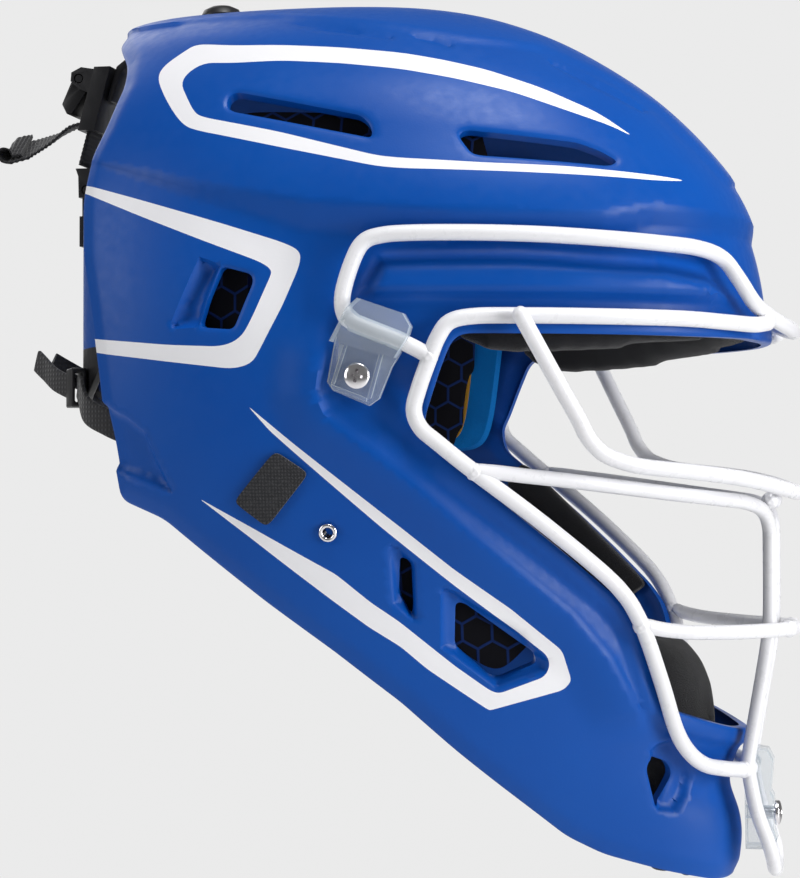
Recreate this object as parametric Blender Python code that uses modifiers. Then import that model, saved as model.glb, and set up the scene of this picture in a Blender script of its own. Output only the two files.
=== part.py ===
"""Hockey-style catcher's helmet with a wire face cage.

Frame: origin at the centre of the head, +X the way the face looks, +Y to the
wearer's left, +Z up. Lengths below are in millimetres and become metres in mm().
"""

import math

import bmesh
import bpy
import numpy
from mathutils import Matrix, Vector

# ---------------------------------------------------------------- dimensions
SHELL_WALL = 3.5
PAD_INSET = 6.0
EDGE_SHARE = 0.55
SIDES = ((1, "right"), (-1, "left"))
GAP = 0.35
WIRE_R = 2.9
POST_R = 2.7
WIRE_STANDOFF = 4.0
SCREW_R = 2.0
SCREW_HEAD_R = 5.2
SCREW_CLEARANCE_R = 2.5
NUT_R = 6.5
PATCH_THICK = 1.4
EYELET_BARREL_R = 2.5
EYELET_FLANGE_R = 3.6
NUT_THICK = 1.2
WEBBING_WIDTH = 20.0
WEBBING_THICK = 1.6
ELASTIC_WIDTH = 10.0
ELASTIC_THICK = 1.8
PLATE_RADIUS = 88.0
PLATE_BACK = -124.5
PLATE_WALL = 3.0
PLATE_HINGE = (-124.5, 0.0, 60.5)
PIN_R = 1.5
PIN_BORE_R = 1.95
LEVER_PIVOT = (-127.0, 0.0, 104.5)

# Horizontal sections of the outer form, from the chin up to the crown:
# height, front, back, half width, where it is widest, roundness.
SECTIONS = [
    (-215, 128, -90, 42, 10, 1.80),
    (-190, 132, -112, 52, 5, 1.80),
    (-165, 131, -128, 66, 0, 1.85),
    (-145, 134, -136, 74, -4, 1.85),
    (-115, 143, -143, 82, -8, 1.90),
    (-80, 147, -149, 91, -14, 1.95),
    (-40, 147, -152, 98, -16, 2.10),
    (0, 143, -152, 101, -15, 2.25),
    (30, 139, -149, 100, -12, 2.35),
    (60, 127, -142, 95, -10, 2.35),
    (85, 105, -133, 84, -12, 2.30),
    (105, 77, -124, 66, -16, 2.20),
    (118, 50, -114, 46, -22, 2.10),
    (126, 20, -98, 22, -28, 2.00),
    (128.5, -10, -60, 0.5, -32, 2.00),
]

# Heights of the rings that the shell is lofted through.
SHELL_RINGS = [-213, -194, -172, -150, -128, -104, -80, -56, -32, -8, 14, 34, 52, 68,
               82, 94, 104, 112, 118.5, 123, 126, 127.8]
RING_POINTS = 38

# Side outlines (x, z) of what is cut away from the closed form.
FACE_OPENING = [
    (170, -2), (120, -3), (62, -3), (41, -3), (37, -6), (33, -16), (27, -34), (28, -42),
    (43, -54), (60, -68), (76, -82), (92, -97), (98, -105), (101, -115), (106, -134),
    (110, -139), (133, -148), (170, -150),
]
REAR_AND_NECK = [
    (-190, 150), (-114, 150), (-112, 121), (-97, 104), (-95, 95), (-99, 78), (-104, 66),
    (-106, 50), (-104, 28), (-100, 8), (-97, -16), (-96, -27), (-93, -40), (-90, -62),
    (-72, -69), (-59, -79), (-33, -99), (-8, -117), (15, -135), (34, -153), (53, -170),
    (71, -186), (84, -193), (106, -200), (125, -205), (140, -203), (170, -203),
    (170, -250), (-190, -250),
]
VENTS = {
    "crown_vent_rear": [(-48, 85), (-45, 87), (3, 76), (7, 72), (8, 67), (-45, 79), (-48, 81)],
    "crown_vent_front": [(38, 68), (41, 70), (79, 66), (87, 63), (93, 59), (90, 57), (46, 60), (43, 61)],
    "ear_vent": [(-46, 22), (-35, 19), (-34, 16), (-41, -1), (-54, 0), (-51, 10)],
    "jaw_vent_small": [(17, -82), (21, -84), (21, -100), (20, -104), (16, -96)],
    "jaw_vent_large": [(36, -99), (39, -99), (63, -117), (64, -121), (50, -127), (47, -126), (35, -115)],
    "chin_vent": [(102, -156), (109, -159), (111, -164), (103, -176), (100, -160)],
}

# Side outlines (x, z) of the four-cornered pads, and the chin cup's rows (height, front, half width).
TEMPLE_PAD = [(33, 44), (23, -44), (-30, -44), (-30, 44)]
EAR_PAD = [(-37, 50), (-37, -30), (-90, -30), (-93, 50)]
UPPER_SIDE_PAD = [(52, 58), (-50, 58), (-50, 84), (46, 78)]
JAW_PAD = [(30, -60), (78, -100), (50, -128), (0, -88)]
HOOK_PATCH = [(-26, -44), (-14, -52), (-30, -71), (-42, -62)]
CHIN_CUP = [(-200, 121, 22), (-180, 121, 26), (-160, 122, 31), (-146, 122, 33), (-136, 118, 33),
            (-124, 112, 31), (-110, 103, 27)]
CHIN_CUP_BACK = 72

# Clips, screws and eyelets in the side view (x, z).
SIDE_SCREW = (5.0, -18.0)
EYELET = (-8.0, -73.0)
CHIN_SCREW_Z = -180.0
CROSSBAR_X = 135.6
CROSSBAR_Z = -162.0
SIDE_CLIP_BLOCK = [(2, 5.5), (6, 9), (22, 3.5), (24.5, -1), (23, -6), (19, -12), (-4, -6), (-2.5, -3)]
SIDE_CLIP_LEG = [(-3, -4), (21.5, -8), (17, -15), (12.5, -26), (9, -28.5), (-4, -23), (-6, -20)]
CHIN_CLIP_SIDE = [(133.6, -157), (135, -155), (142, -156), (144, -160), (143, -172), (144.2, -174),
                  (144.2, -186), (145.5, -190), (143, -192.8), (134, -192.8), (133.6, -176)]
CHIN_CLIP_HALF = 9.6

# Cage wires on the wearer's right. Where a wire hugs the shell it is given in the side
# view (x, z); where it is free it is given as (x, y, z) of its centreline.
BROW_WIRE_ON_SHELL = [
    (24.5, -8), (19, -5.5), (4, 0.5), (0.4, 4), (0, 11), (3.2, 22), (7, 28.8), (13, 31.2), (24, 32),
    (46, 32), (68, 31.5), (90, 30.5), (108, 29.5), (121, 28.5), (129, 25.5),
]
BROW_WIRE_FREE = [
    (134.5, -49.5, 18), (139.5, -42.5, 10), (144, -34, 6), (148.5, -22, 3.5), (151.3, -10, 2.3),
    (152, 0, 2),
]
EDGE_WIRE_ON_SHELL = [
    (130, 2.5), (115, 3), (88, 3), (60, 3), (45.5, 2.7), (37.4, 0.8), (33.3, -4.4), (30.3, -11.7),
    (26.5, -22), (24.5, -30), (26.8, -36.3), (32.6, -41.5), (43.3, -50.4), (66.2, -68.5), (86.1, -86),
    (94.5, -95.2), (99, -103.2), (102.4, -112.5), (107, -129.2), (111, -145.4), (115.2, -154),
    (120.6, -159.2),
]
EDGE_WIRE_START = (139.5, -44.5, 2)
EDGE_WIRE_END = [(127, -26, -161), (131.2, -19.2, -162)]
EYE_WIRE = [
    (62.4, -102.4, 3), (66.5, -99.8, -5), (74.2, -94.6, -20), (81, -89.8, -33), (84, -87.2, -39.5),
    (88.5, -83.6, -44.8), (94, -79.6, -47.6), (102, -74.2, -49.7), (118, -61, -51.5), (133, -44, -53.5), (144, -26, -56),
    (151, -11, -58.3), (153.5, 0, -59),
]
MOUTH_WIRE = [
    (53.1, -90.6, -51.9), (60, -87.2, -52.8), (72, -80.6, -54.2), (88, -71, -56.3), (112, -53.5, -59.5),
    (128, -39.5, -61.5), (136, -29.5, -62.8), (141, -21, -65.5), (143.2, -15.5, -71),
    (143.5, -14, -79), (143.5, -14, -104), (142.5, -14, -116), (139, -14, -137),
    (135.8, -14, -156), (135.5, -14, -163), (138.5, -14, -178), (142.5, -14, -189),
    (144.2, -12.6, -195), (144.7, -9.3, -198.8), (144.9, -5, -200.6), (144.9, 0, -201),
]
LOWER_WIRE = [
    (106.6, -57.8, -108), (112, -54, -108.9), (118, -50, -109.5), (131, -38.5, -110), (141, -27, -110),
    (147, -18.5, -110), (150.3, -11, -110), (152, -5, -110), (152.4, 0, -110),
]


# ------------------------------------------------------------------- helpers
def mm(*values):
    """Millimetres to a metre vector."""
    return Vector(values) / 1000.0


def clear_scene():
    for obj in list(bpy.data.objects):
        bpy.data.objects.remove(obj, do_unlink=True)


def new_collection(name):
    collection = bpy.data.collections.new(name)
    bpy.context.scene.collection.children.link(collection)
    return collection


def material(name, colour, roughness, metallic=0.0, alpha=1.0):
    made = bpy.data.materials.new(name)
    made.use_nodes = True
    shader = made.node_tree.nodes["Principled BSDF"]
    shader.inputs["Base Color"].default_value = (*colour, 1.0)
    shader.inputs["Roughness"].default_value = roughness
    shader.inputs["Metallic"].default_value = metallic
    shader.inputs["Alpha"].default_value = alpha
    return made


def add_mesh(name, bm, finish, smooth=True):
    """The bmesh as a named object of the helmet."""
    bmesh.ops.recalc_face_normals(bm, faces=bm.faces)
    mesh = bpy.data.meshes.new(name)
    bm.to_mesh(mesh)
    bm.free()
    if smooth:
        mesh.shade_smooth()
        mesh.set_sharp_from_angle(angle=math.radians(35))
    obj = bpy.data.objects.new(name, mesh)
    helmet.objects.link(obj)
    mesh.materials.append(finish)
    return obj


def as_cutter(obj):
    """Moves an object out of the helmet and hides it from the build."""
    helmet.objects.unlink(obj)
    cutters.objects.link(obj)
    obj.hide_render = True
    obj.display_type = "WIRE"
    return obj


def cut(obj, cutter, operation="DIFFERENCE"):
    step = obj.modifiers.new(operation.title() + "_" + cutter.name, "BOOLEAN")
    step.operation = operation
    step.object = cutter
    step.solver = "EXACT"
    return obj


def prism(name, outline, y_low, y_high, finish):
    """An outline in the side view, carried across from one y to another."""
    bm = bmesh.new()
    ends = [[bm.verts.new(mm(x, y, z)) for x, z in outline] for y in (y_low, y_high)]
    bm.faces.new(ends[0])
    bm.faces.new(ends[1][::-1])
    for i in range(len(outline)):
        j = (i + 1) % len(outline)
        bm.faces.new([ends[0][i], ends[1][i], ends[1][j], ends[0][j]])
    return add_mesh(name, bm, finish, smooth=False)


def disc(name, centre, axis, radius, thickness, finish, sides=24):
    """A cylinder whose base lies at centre and which grows along axis."""
    bm = bmesh.new()
    turn = Vector((0, 0, 1)).rotation_difference(Vector(axis).normalized()).to_matrix().to_4x4()
    place = Matrix.Translation(mm(*centre)) @ turn @ Matrix.Translation(mm(0, 0, thickness / 2))
    bmesh.ops.create_cone(bm, cap_ends=True, segments=sides, radius1=radius / 1000,
                          radius2=radius / 1000, depth=thickness / 1000, matrix=place)
    return add_mesh(name, bm, finish)


def turned(name, profile, centre, axis, finish, sides=20):
    """A solid of revolution: profile is (radius, height) down its outer side, then back up."""
    bm = bmesh.new()
    verts = [bm.verts.new(mm(r, 0, h)) for r, h in profile]
    closed_ring = profile[0][0] > 0 and profile[-1][0] > 0
    for a, b in zip(verts, verts[1:] + (verts[:1] if closed_ring else [])):
        bm.edges.new((a, b))
    mesh = bpy.data.meshes.new(name)
    bm.to_mesh(mesh)
    bm.free()
    mesh.materials.append(finish)
    obj = bpy.data.objects.new(name, mesh)
    helmet.objects.link(obj)
    screw = obj.modifiers.new("Turn", "SCREW")
    screw.steps = sides
    screw.render_steps = sides
    screw.use_merge_vertices = True
    screw.merge_threshold = 0.00005
    obj.location = mm(*centre)
    obj.rotation_mode = "QUATERNION"
    obj.rotation_quaternion = Vector((0, 0, 1)).rotation_difference(Vector(axis).normalized())
    return obj


def pin_along_y(name, centre, radius, length):
    """A pin, or the cutter for its bore, that runs side to side through centre."""
    x, y, z = centre
    return disc(name, (x, y - length / 2, z), (0, 1, 0), radius, length, STEEL, sides=12)


def catmull(points, per_span):
    """Points read from a smooth curve through the given ones."""
    vectors = [Vector(p) for p in points]
    padded = [2 * vectors[0] - vectors[1], *vectors, 2 * vectors[-1] - vectors[-2]]
    result = []
    for a, b, c, d in zip(padded, padded[1:], padded[2:], padded[3:]):
        for step in range(per_span):
            t = step / per_span
            result.append(0.5 * (2 * b + (c - a) * t + (2 * a - 5 * b + 4 * c - d) * t * t
                                 + (3 * b - a - 3 * c + d) * t * t * t))
    return [*result, vectors[-1]]


def wire(name, points, radius, finish, resolution=2, per_span=1):
    """A bent rod through the points, in millimetres."""
    curve = bpy.data.curves.new(name, "CURVE")
    curve.dimensions = "3D"
    curve.bevel_depth = radius / 1000
    curve.bevel_resolution = resolution
    curve.use_fill_caps = True
    path = catmull(points, per_span)
    spline = curve.splines.new("POLY")
    spline.points.add(len(path) - 1)
    for point, place in zip(spline.points, path):
        point.co = (*mm(*place), 1.0)
    curve.materials.append(finish)
    obj = bpy.data.objects.new(name, curve)
    helmet.objects.link(obj)
    return obj


def meshed(obj):
    """A wire made into a mesh, so that it can cut or be cut."""
    bpy.context.view_layer.update()
    evaluated = obj.evaluated_get(bpy.context.evaluated_depsgraph_get())
    mesh = bpy.data.meshes.new_from_object(evaluated)
    bm = bmesh.new()
    bm.from_mesh(mesh)
    bmesh.ops.remove_doubles(bm, verts=bm.verts, dist=0.00001)
    bmesh.ops.recalc_face_normals(bm, faces=bm.faces)
    bm.to_mesh(mesh)
    bm.free()
    name = obj.name
    bpy.data.objects.remove(obj, do_unlink=True)
    made = bpy.data.objects.new(name, mesh)
    helmet.objects.link(made)
    return made


def close_slab(bm, outer, inner):
    """Faces of a slab between two grids of points, with its four edges closed."""
    rows, columns = len(outer) - 1, len(outer[0]) - 1
    for grid in (outer, inner):
        for r in range(rows):
            for c in range(columns):
                bm.faces.new([grid[r][c], grid[r][c + 1], grid[r + 1][c + 1], grid[r + 1][c]])
    rim = ([(0, c) for c in range(columns)] + [(r, columns) for r in range(rows)]
           + [(rows, c) for c in range(columns, 0, -1)] + [(r, 0) for r in range(rows, 0, -1)])
    for (r0, c0), (r1, c1) in zip(rim, rim[1:] + rim[:1]):
        bm.faces.new([outer[r0][c0], inner[r0][c0], inner[r1][c1], outer[r1][c1]])


def mirrored(points):
    """The same route on the other side of the helmet."""
    return [(x, -y, z) for x, y, z in points]


def both_sides(points):
    """A route that ends on the middle plane, carried on to the other side."""
    return [*points, *reversed(mirrored(points[:-1]))]


# ------------------------------------------------------------- the head form
def section_value(z, column):
    """One column of SECTIONS at height z, read from a smooth curve."""
    rows = SECTIONS
    z = min(max(z, rows[0][0]), rows[-1][0])
    i = max(k for k in range(len(rows) - 1) if rows[k][0] <= z)
    span = rows[i + 1][0] - rows[i][0]
    t = (z - rows[i][0]) / span

    def slope(k):
        low, high = rows[max(k - 1, 0)], rows[min(k + 1, len(rows) - 1)]
        return (high[column] - low[column]) / (high[0] - low[0]) * span

    start, end = rows[i][column], rows[i + 1][column]
    return ((2 * t**3 - 3 * t**2 + 1) * start + (t**3 - 2 * t**2 + t) * slope(i)
            + (3 * t**2 - 2 * t**3) * end + (t**3 - t**2) * slope(i + 1))


def form_point(z, turn):
    """Outer form at height z. turn is 0 at the front, 180 at the back, on the wearer's right."""
    front, back, half, widest, power = (section_value(z, k) for k in range(1, 6))
    angle = math.radians(turn)
    reach = front - widest if math.cos(angle) > 0 else widest - back
    x = widest + math.copysign(reach * abs(math.cos(angle)) ** (2 / power), math.cos(angle))
    y = -half * math.copysign(abs(math.sin(angle)) ** (2 / power), math.sin(angle))
    return Vector((x, y, z))


def half_width(x, z):
    """How far the outer form reaches sideways at (x, z)."""
    front, back, half, widest, power = (section_value(z, k) for k in range(1, 6))
    reach = front - widest if x > widest else widest - back
    share = min(abs(x - widest) / reach, 1.0)
    return half * (1 - share**power) ** (1 / power)


def side_point(x, z, side, lift=0.0):
    """Where (x, z) of the side view meets the outer form; side is 1 on the right, -1 on the left."""
    return Vector((x, -side * half_width(x, z), z)) + lift * side_normal(x, z, side)


def side_normal(x, z, side):
    slope_x = (half_width(x + 1, z) - half_width(x - 1, z)) / 2
    slope_z = (half_width(x, z + 1) - half_width(x, z - 1)) / 2
    return Vector((-slope_x, -side, -slope_z)).normalized()


def crown_point(x, y):
    """Top of the outer form above (x, y), found by halving the height it lies in."""
    low, high = 0.0, 128.4
    for _ in range(24):
        middle = (low + high) / 2
        if half_width(x, middle) > abs(y) and section_value(middle, 2) < x < section_value(middle, 1):
            low = middle
        else:
            high = middle
    return Vector((x, y, low))


def normal_of(surface, u, v):
    """Outward direction of a form given as a function of two values."""
    along_u = surface(u + 1.0, v) - surface(u - 1.0, v)
    along_v = surface(u, v + 1.0) - surface(u, v - 1.0)
    normal = along_u.cross(along_v).normalized()
    place = surface(u, v)
    outward = Vector((place.x, place.y, 0.4 * place.z))
    return normal if normal.dot(outward) > 0 else -normal


# --------------------------------------------------------------------- shell
def build_shell():
    """One moulded shell: a closed form with the face, the back and the vents cut out."""
    bm = bmesh.new()
    rings = []
    for z in SHELL_RINGS:
        turns = [360 * k / RING_POINTS for k in range(RING_POINTS)]
        rings.append([bm.verts.new(mm(*form_point(z, turn))) for turn in turns])
    for low, high in zip(rings, rings[1:]):
        for i in range(RING_POINTS):
            j = (i + 1) % RING_POINTS
            bm.faces.new([low[i], high[i], high[j], low[j]])
    top = bm.verts.new(mm(section_value(128.5, 4), 0, 128.5))
    for i in range(RING_POINTS):
        bm.faces.new([rings[-1][i], top, rings[-1][(i + 1) % RING_POINTS]])
    bmesh.ops.recalc_face_normals(bm, faces=bm.faces)
    shell = add_mesh("helmet_shell", bm, SHELL_BLUE)
    wall = shell.modifiers.new("Wall", "SOLIDIFY")
    wall.thickness = SHELL_WALL / 1000
    wall.offset = -1.0
    reach = 140
    for name, outline in [("face_opening", FACE_OPENING), ("rear_and_neck", REAR_AND_NECK), *VENTS.items()]:
        cut(shell, as_cutter(prism("cut_" + name, outline, -reach, reach, SHELL_BLUE)))
    screw_x, screw_z = SIDE_SCREW
    cut(shell, as_cutter(disc("cut_side_screw", (screw_x, -reach, screw_z), (0, 1, 0), SCREW_CLEARANCE_R,
                              2 * reach, SHELL_BLUE, sides=16)))
    for side, label in SIDES:
        outward = side_normal(*EYELET, side)
        inside = side_point(*EYELET, side) - 20 * outward
        cut(shell, as_cutter(disc("cut_eyelet_" + label, inside, outward, EYELET_BARREL_R + 0.5, 40,
                                  SHELL_BLUE, sides=16)))
    chin_drill = disc("cut_chin_screw", (110, 0, CHIN_SCREW_Z), (1, 0, 0), SCREW_CLEARANCE_R, 40,
                      SHELL_BLUE, sides=16)
    cut(shell, as_cutter(chin_drill))
    return shell


# ---------------------------------------------------------------------- pads
def lining_pad(name, surface, u_span, v_span, thickness, finish, rows=6, columns=8, inset=PAD_INSET,
               edge_share=EDGE_SHARE):
    """Foam that follows the inside of the shell, thinned towards its edges.

    surface gives the outer form from u and v.
    """
    bm = bmesh.new()
    layers = []
    for layer in range(2):
        grid = []
        for r in range(rows + 1):
            u = u_span[0] + (u_span[1] - u_span[0]) * r / rows
            line = []
            for c in range(columns + 1):
                v = v_span[0] + (v_span[1] - v_span[0]) * c / columns
                edge = min(r / rows, 1 - r / rows, c / columns, 1 - c / columns)
                swell = edge_share + (1 - edge_share) * min(edge / 0.25, 1.0)
                depth = inset + (thickness * swell if layer else 0.0)
                place = surface(u, v) - depth * normal_of(surface, u, v)
                line.append(bm.verts.new(mm(*place)))
            grid.append(line)
        layers.append(grid)
    close_slab(bm, *layers)
    return add_mesh(name, bm, finish)


def side_patch(corners, side=1):
    """A four-cornered patch of the form's side, as a function of two shares from 0 to 100."""
    (x0, z0), (x1, z1), (x2, z2), (x3, z3) = corners

    def surface(u, v):
        u, v = u / 100, v / 100
        x = (1 - u) * ((1 - v) * x0 + v * x1) + u * ((1 - v) * x3 + v * x2)
        z = (1 - u) * ((1 - v) * z0 + v * z1) + u * ((1 - v) * z3 + v * z2)
        return side_point(x, z, side)

    return surface


def chin_point(z, turn):
    """Outer face of the chin cup's padding, which leans back above the chin."""
    heights = [row[0] for row in CHIN_CUP]
    front = float(numpy.interp(z, heights, [row[1] for row in CHIN_CUP]))
    half = float(numpy.interp(z, heights, [row[2] for row in CHIN_CUP]))
    angle = math.radians(turn)
    return Vector((CHIN_CUP_BACK + (front - CHIN_CUP_BACK) * math.cos(angle), -half * math.sin(angle), z))


def build_pads():
    whole = (0, 100)
    lining_pad("forehead_pad", form_point, (-11, 40), (-62, 62), 14, PAD_BLACK, rows=5, columns=18)
    lining_pad("crown_pad_front", crown_point, (16, 64), (-40, 40), 11, PAD_BLACK, rows=5, columns=8)
    lining_pad("crown_pad_rear", crown_point, (-72, 4), (-44, 44), 11, PAD_BLACK, rows=7, columns=8)
    for side, label in SIDES:
        lining_pad("temple_pad_" + label, side_patch(TEMPLE_PAD, side), whole, whole, 14, PAD_BLACK,
                   columns=6, inset=7.8)
        lining_pad("ear_pad_" + label, side_patch(EAR_PAD, side), whole, whole, 13, PAD_BLACK, columns=5)
        lining_pad("upper_side_pad_" + label, side_patch(UPPER_SIDE_PAD, side), whole, whole, 10, PAD_BLACK,
                   rows=4, columns=6)
        lining_pad("jaw_pad_" + label, side_patch(JAW_PAD, side), whole, whole, 13, PAD_BLACK, rows=5,
                   columns=6)
    lining_pad("chin_pad", chin_point, (-197, -112), (-68, 68), 13, CHIN_BLACK, rows=8, columns=12, inset=0)


# ---------------------------------------------------------------------- cage
def hugging(side_view):
    """The route of a wire that lies along the shell on the wearer's right."""
    route = []
    for x, z in side_view:
        lean = side_point(x, z, 1, WIRE_STANDOFF) - side_point(x, z, 1)
        route.append(side_point(x - lean.x, z - lean.z, 1, WIRE_STANDOFF))
    return route


def build_cage():
    """Steel wires lapped and butted where the real ones are welded."""
    wire("cage_brow_wire", both_sides(hugging(BROW_WIRE_ON_SHELL) + BROW_WIRE_FREE), WIRE_R, CAGE_WHITE)
    edge = [EDGE_WIRE_START, *hugging(EDGE_WIRE_ON_SHELL), *EDGE_WIRE_END]
    wire("cage_edge_wire_right", edge, WIRE_R, CAGE_WHITE)
    wire("cage_edge_wire_left", mirrored(edge), WIRE_R, CAGE_WHITE)
    wire("cage_eye_bar", both_sides(EYE_WIRE), WIRE_R, CAGE_WHITE)
    wire("cage_mouth_bar", both_sides(MOUTH_WIRE), POST_R, CAGE_WHITE)
    wire("cage_lower_bar", both_sides(LOWER_WIRE), POST_R, CAGE_WHITE)
    wire("cage_chin_crossbar", [(CROSSBAR_X, -10.9, CROSSBAR_Z), (CROSSBAR_X, 0, CROSSBAR_Z),
                                (CROSSBAR_X, 10.9, CROSSBAR_Z)], POST_R, CAGE_WHITE)


# --------------------------------------------------------------------- clips
def build_side_clip(side, label):
    """Clear clip that hooks over the brow wire and is screwed to the shell."""
    outer = half_width(*SIDE_SCREW)
    y_of = {"leg": sorted((-side * (outer + 1.0), -side * (outer + 4.0))),
            "block": sorted((-side * (outer + 3.0), -side * (outer + 10.0)))}
    clip = prism("side_clip_" + label, SIDE_CLIP_LEG, *y_of["leg"], CLIP_CLEAR)
    hook = as_cutter(prism("hook_" + label, SIDE_CLIP_BLOCK, *y_of["block"], CLIP_CLEAR))
    cut(clip, hook, "UNION")
    route = hugging(BROW_WIRE_ON_SHELL[:9])
    if side == -1:
        route = mirrored(route)
    groove = as_cutter(meshed(wire("groove_" + label, route, WIRE_R + 0.5, CLIP_CLEAR)))
    cut(clip, groove)
    x, z = SIDE_SCREW
    hole = as_cutter(disc("clip_hole_" + label, (x, -side * 90, z), (0, -side, 0), SCREW_CLEARANCE_R,
                          30, CLIP_CLEAR, sides=16))
    cut(clip, hole)
    build_screw("side_clip_screw_" + label, (x, -side * (outer + 4.0 + GAP), z), (0, -side, 0), 9.5)
    build_nut("side_clip_nut_" + label, (x, -side * (outer - SHELL_WALL - GAP - 0.9), z), (0, side, 0))


def build_screw(name, seat, axis, length):
    """Pan-head screw. seat is the underside of its head, axis the way the head faces."""
    head = 2.6
    turned(name, [(0, head), (SCREW_HEAD_R * 0.6, head * 0.92), (SCREW_HEAD_R * 0.92, head * 0.5),
                  (SCREW_HEAD_R, 0), (SCREW_R, 0), (SCREW_R, -length), (0, -length)],
           seat, axis, STEEL, sides=16)


def build_nut(name, seat, axis):
    """Flanged nut. seat is the centre of the flange's face against the shell."""
    turned(name, [(SCREW_R + GAP, 0), (SCREW_R + GAP, NUT_THICK), (NUT_R, NUT_THICK), (NUT_R, 0)],
           seat, axis, STEEL, sides=16)


def build_chin_clip():
    clip = prism("chin_clip", CHIN_CLIP_SIDE, -CHIN_CLIP_HALF, CHIN_CLIP_HALF, CLIP_CLEAR)
    groove = disc("chin_groove", (CROSSBAR_X, -15, CROSSBAR_Z), (0, 1, 0), POST_R + 0.4, 30, CLIP_CLEAR,
                  sides=16)
    cut(clip, as_cutter(groove))
    mouth = prism("chin_groove_mouth", [(CROSSBAR_X - 2.4, CROSSBAR_Z), (CROSSBAR_X, CROSSBAR_Z - 2.4),
                                        (CROSSBAR_X - 8, CROSSBAR_Z - 5), (CROSSBAR_X - 8, CROSSBAR_Z)],
                  -15, 15, CLIP_CLEAR)
    cut(clip, as_cutter(mouth))
    hole = disc("chin_clip_hole", (120, 0, CHIN_SCREW_Z), (1, 0, 0), SCREW_CLEARANCE_R, 40, CLIP_CLEAR,
                sides=16)
    cut(clip, as_cutter(hole))
    build_screw("chin_clip_screw", (144.6, 0, CHIN_SCREW_Z), (1, 0, 0), 17)
    build_nut("chin_clip_nut", (126.2, 0, CHIN_SCREW_Z), (-1, 0, 0))


# ------------------------------------------------------------ shell fittings
def build_fittings(side, label):
    """Eyelet for a throat guard and the hook-and-loop patch beside it."""
    barrel = EYELET_BARREL_R
    turned("eyelet_" + label, [(barrel - 0.6, 1.0), (EYELET_FLANGE_R, 1.0), (EYELET_FLANGE_R, 0), (barrel, 0),
                               (barrel, -5), (barrel - 0.6, -5)],
           side_point(*EYELET, side, 0.45), side_normal(*EYELET, side), STEEL, sides=20)
    lining_pad("hook_patch_" + label, side_patch(HOOK_PATCH, side), (0, 100), (0, 100), -PATCH_THICK,
               WEBBING_BLACK, rows=4, columns=3, inset=-0.5, edge_share=1.0)


# ----------------------------------------------------------- back adjustment
def ribbon(name, route, width_dirs, width, thickness, finish):
    """A flat strap: route points, the way its width runs at each, and its size."""
    bm = bmesh.new()
    rings = []
    points = [Vector(p) for p in route]
    for i, point in enumerate(points):
        ahead = (points[min(i + 1, len(points) - 1)] - points[max(i - 1, 0)]).normalized()
        across = Vector(width_dirs[i])
        across = (across - ahead * across.dot(ahead)).normalized()
        out = ahead.cross(across)
        corners = [(-1, -1), (1, -1), (1, 1), (-1, 1)]
        rings.append([bm.verts.new(mm(*(point + across * a * width / 2 + out * b * thickness / 2)))
                      for a, b in corners])
    for low, high in zip(rings, rings[1:]):
        for i in range(4):
            j = (i + 1) % 4
            bm.faces.new([low[i], low[j], high[j], high[i]])
    bm.faces.new(rings[0][::-1])
    bm.faces.new(rings[-1])
    return add_mesh(name, bm, finish, smooth=False)


def curved_plate(name, radius, wall, half_angle, z_span, finish, centre_x, rows=5, columns=14, corner=0.0):
    """Part of an upright tube, open towards the face. corner shortens its outer columns."""
    bm = bmesh.new()
    layers = []
    for r_now in (radius, radius - wall):
        grid = []
        for r in range(rows + 1):
            v = 2 * r / rows - 1
            line = []
            for c in range(columns + 1):
                u = 2 * c / columns - 1
                angle = math.radians(half_angle) * u
                middle = sum(z_span) / 2
                half = (z_span[1] - z_span[0]) / 2 - corner * abs(u) ** 4
                z = middle + v * half
                line.append(bm.verts.new(mm(centre_x - r_now * math.cos(angle), r_now * math.sin(angle), z)))
            grid.append(line)
        layers.append(grid)
    close_slab(bm, *layers)
    return add_mesh(name, bm, finish)


def build_buckle():
    """Buckle frame that the strap runs up through, and the cam lever pinned between its cheeks."""
    frame = prism("buckle_frame", [(-114, 109), (-120.6, 109), (-127.3, 84), (-120.5, 84)], -13, 13, TRIM_BLACK)
    slot = prism("buckle_slot", [(-114.9, 112), (-117.8, 112), (-126.4, 80), (-123.6, 80)], -10.6, 10.6,
                 TRIM_BLACK)
    cheek = [(-120, 108), (-126, 109), (-130, 107), (-130.3, 103.5), (-127, 100.5), (-121, 98)]
    for side, label in SIDES:
        span = sorted((-side * 10.2, -side * 13))
        cut(frame, as_cutter(prism("cheek_" + label, cheek, *span, TRIM_BLACK)), "UNION")
    cut(frame, as_cutter(slot))
    pin_bore = as_cutter(pin_along_y("pin_bore", LEVER_PIVOT, PIN_BORE_R, 30))
    cut(frame, pin_bore)
    pin_along_y("buckle_pin", LEVER_PIVOT, PIN_R, 25.6)
    lever = prism("buckle_lever", [(-125, 108.5), (-129, 107.5), (-131, 104), (-135, 95), (-133, 91),
                                   (-130.5, 91.5), (-125, 99.5), (-123.6, 103.5)], -9.6, 9.6, TRIM_BLACK)
    cut(lever, pin_bore)


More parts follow.
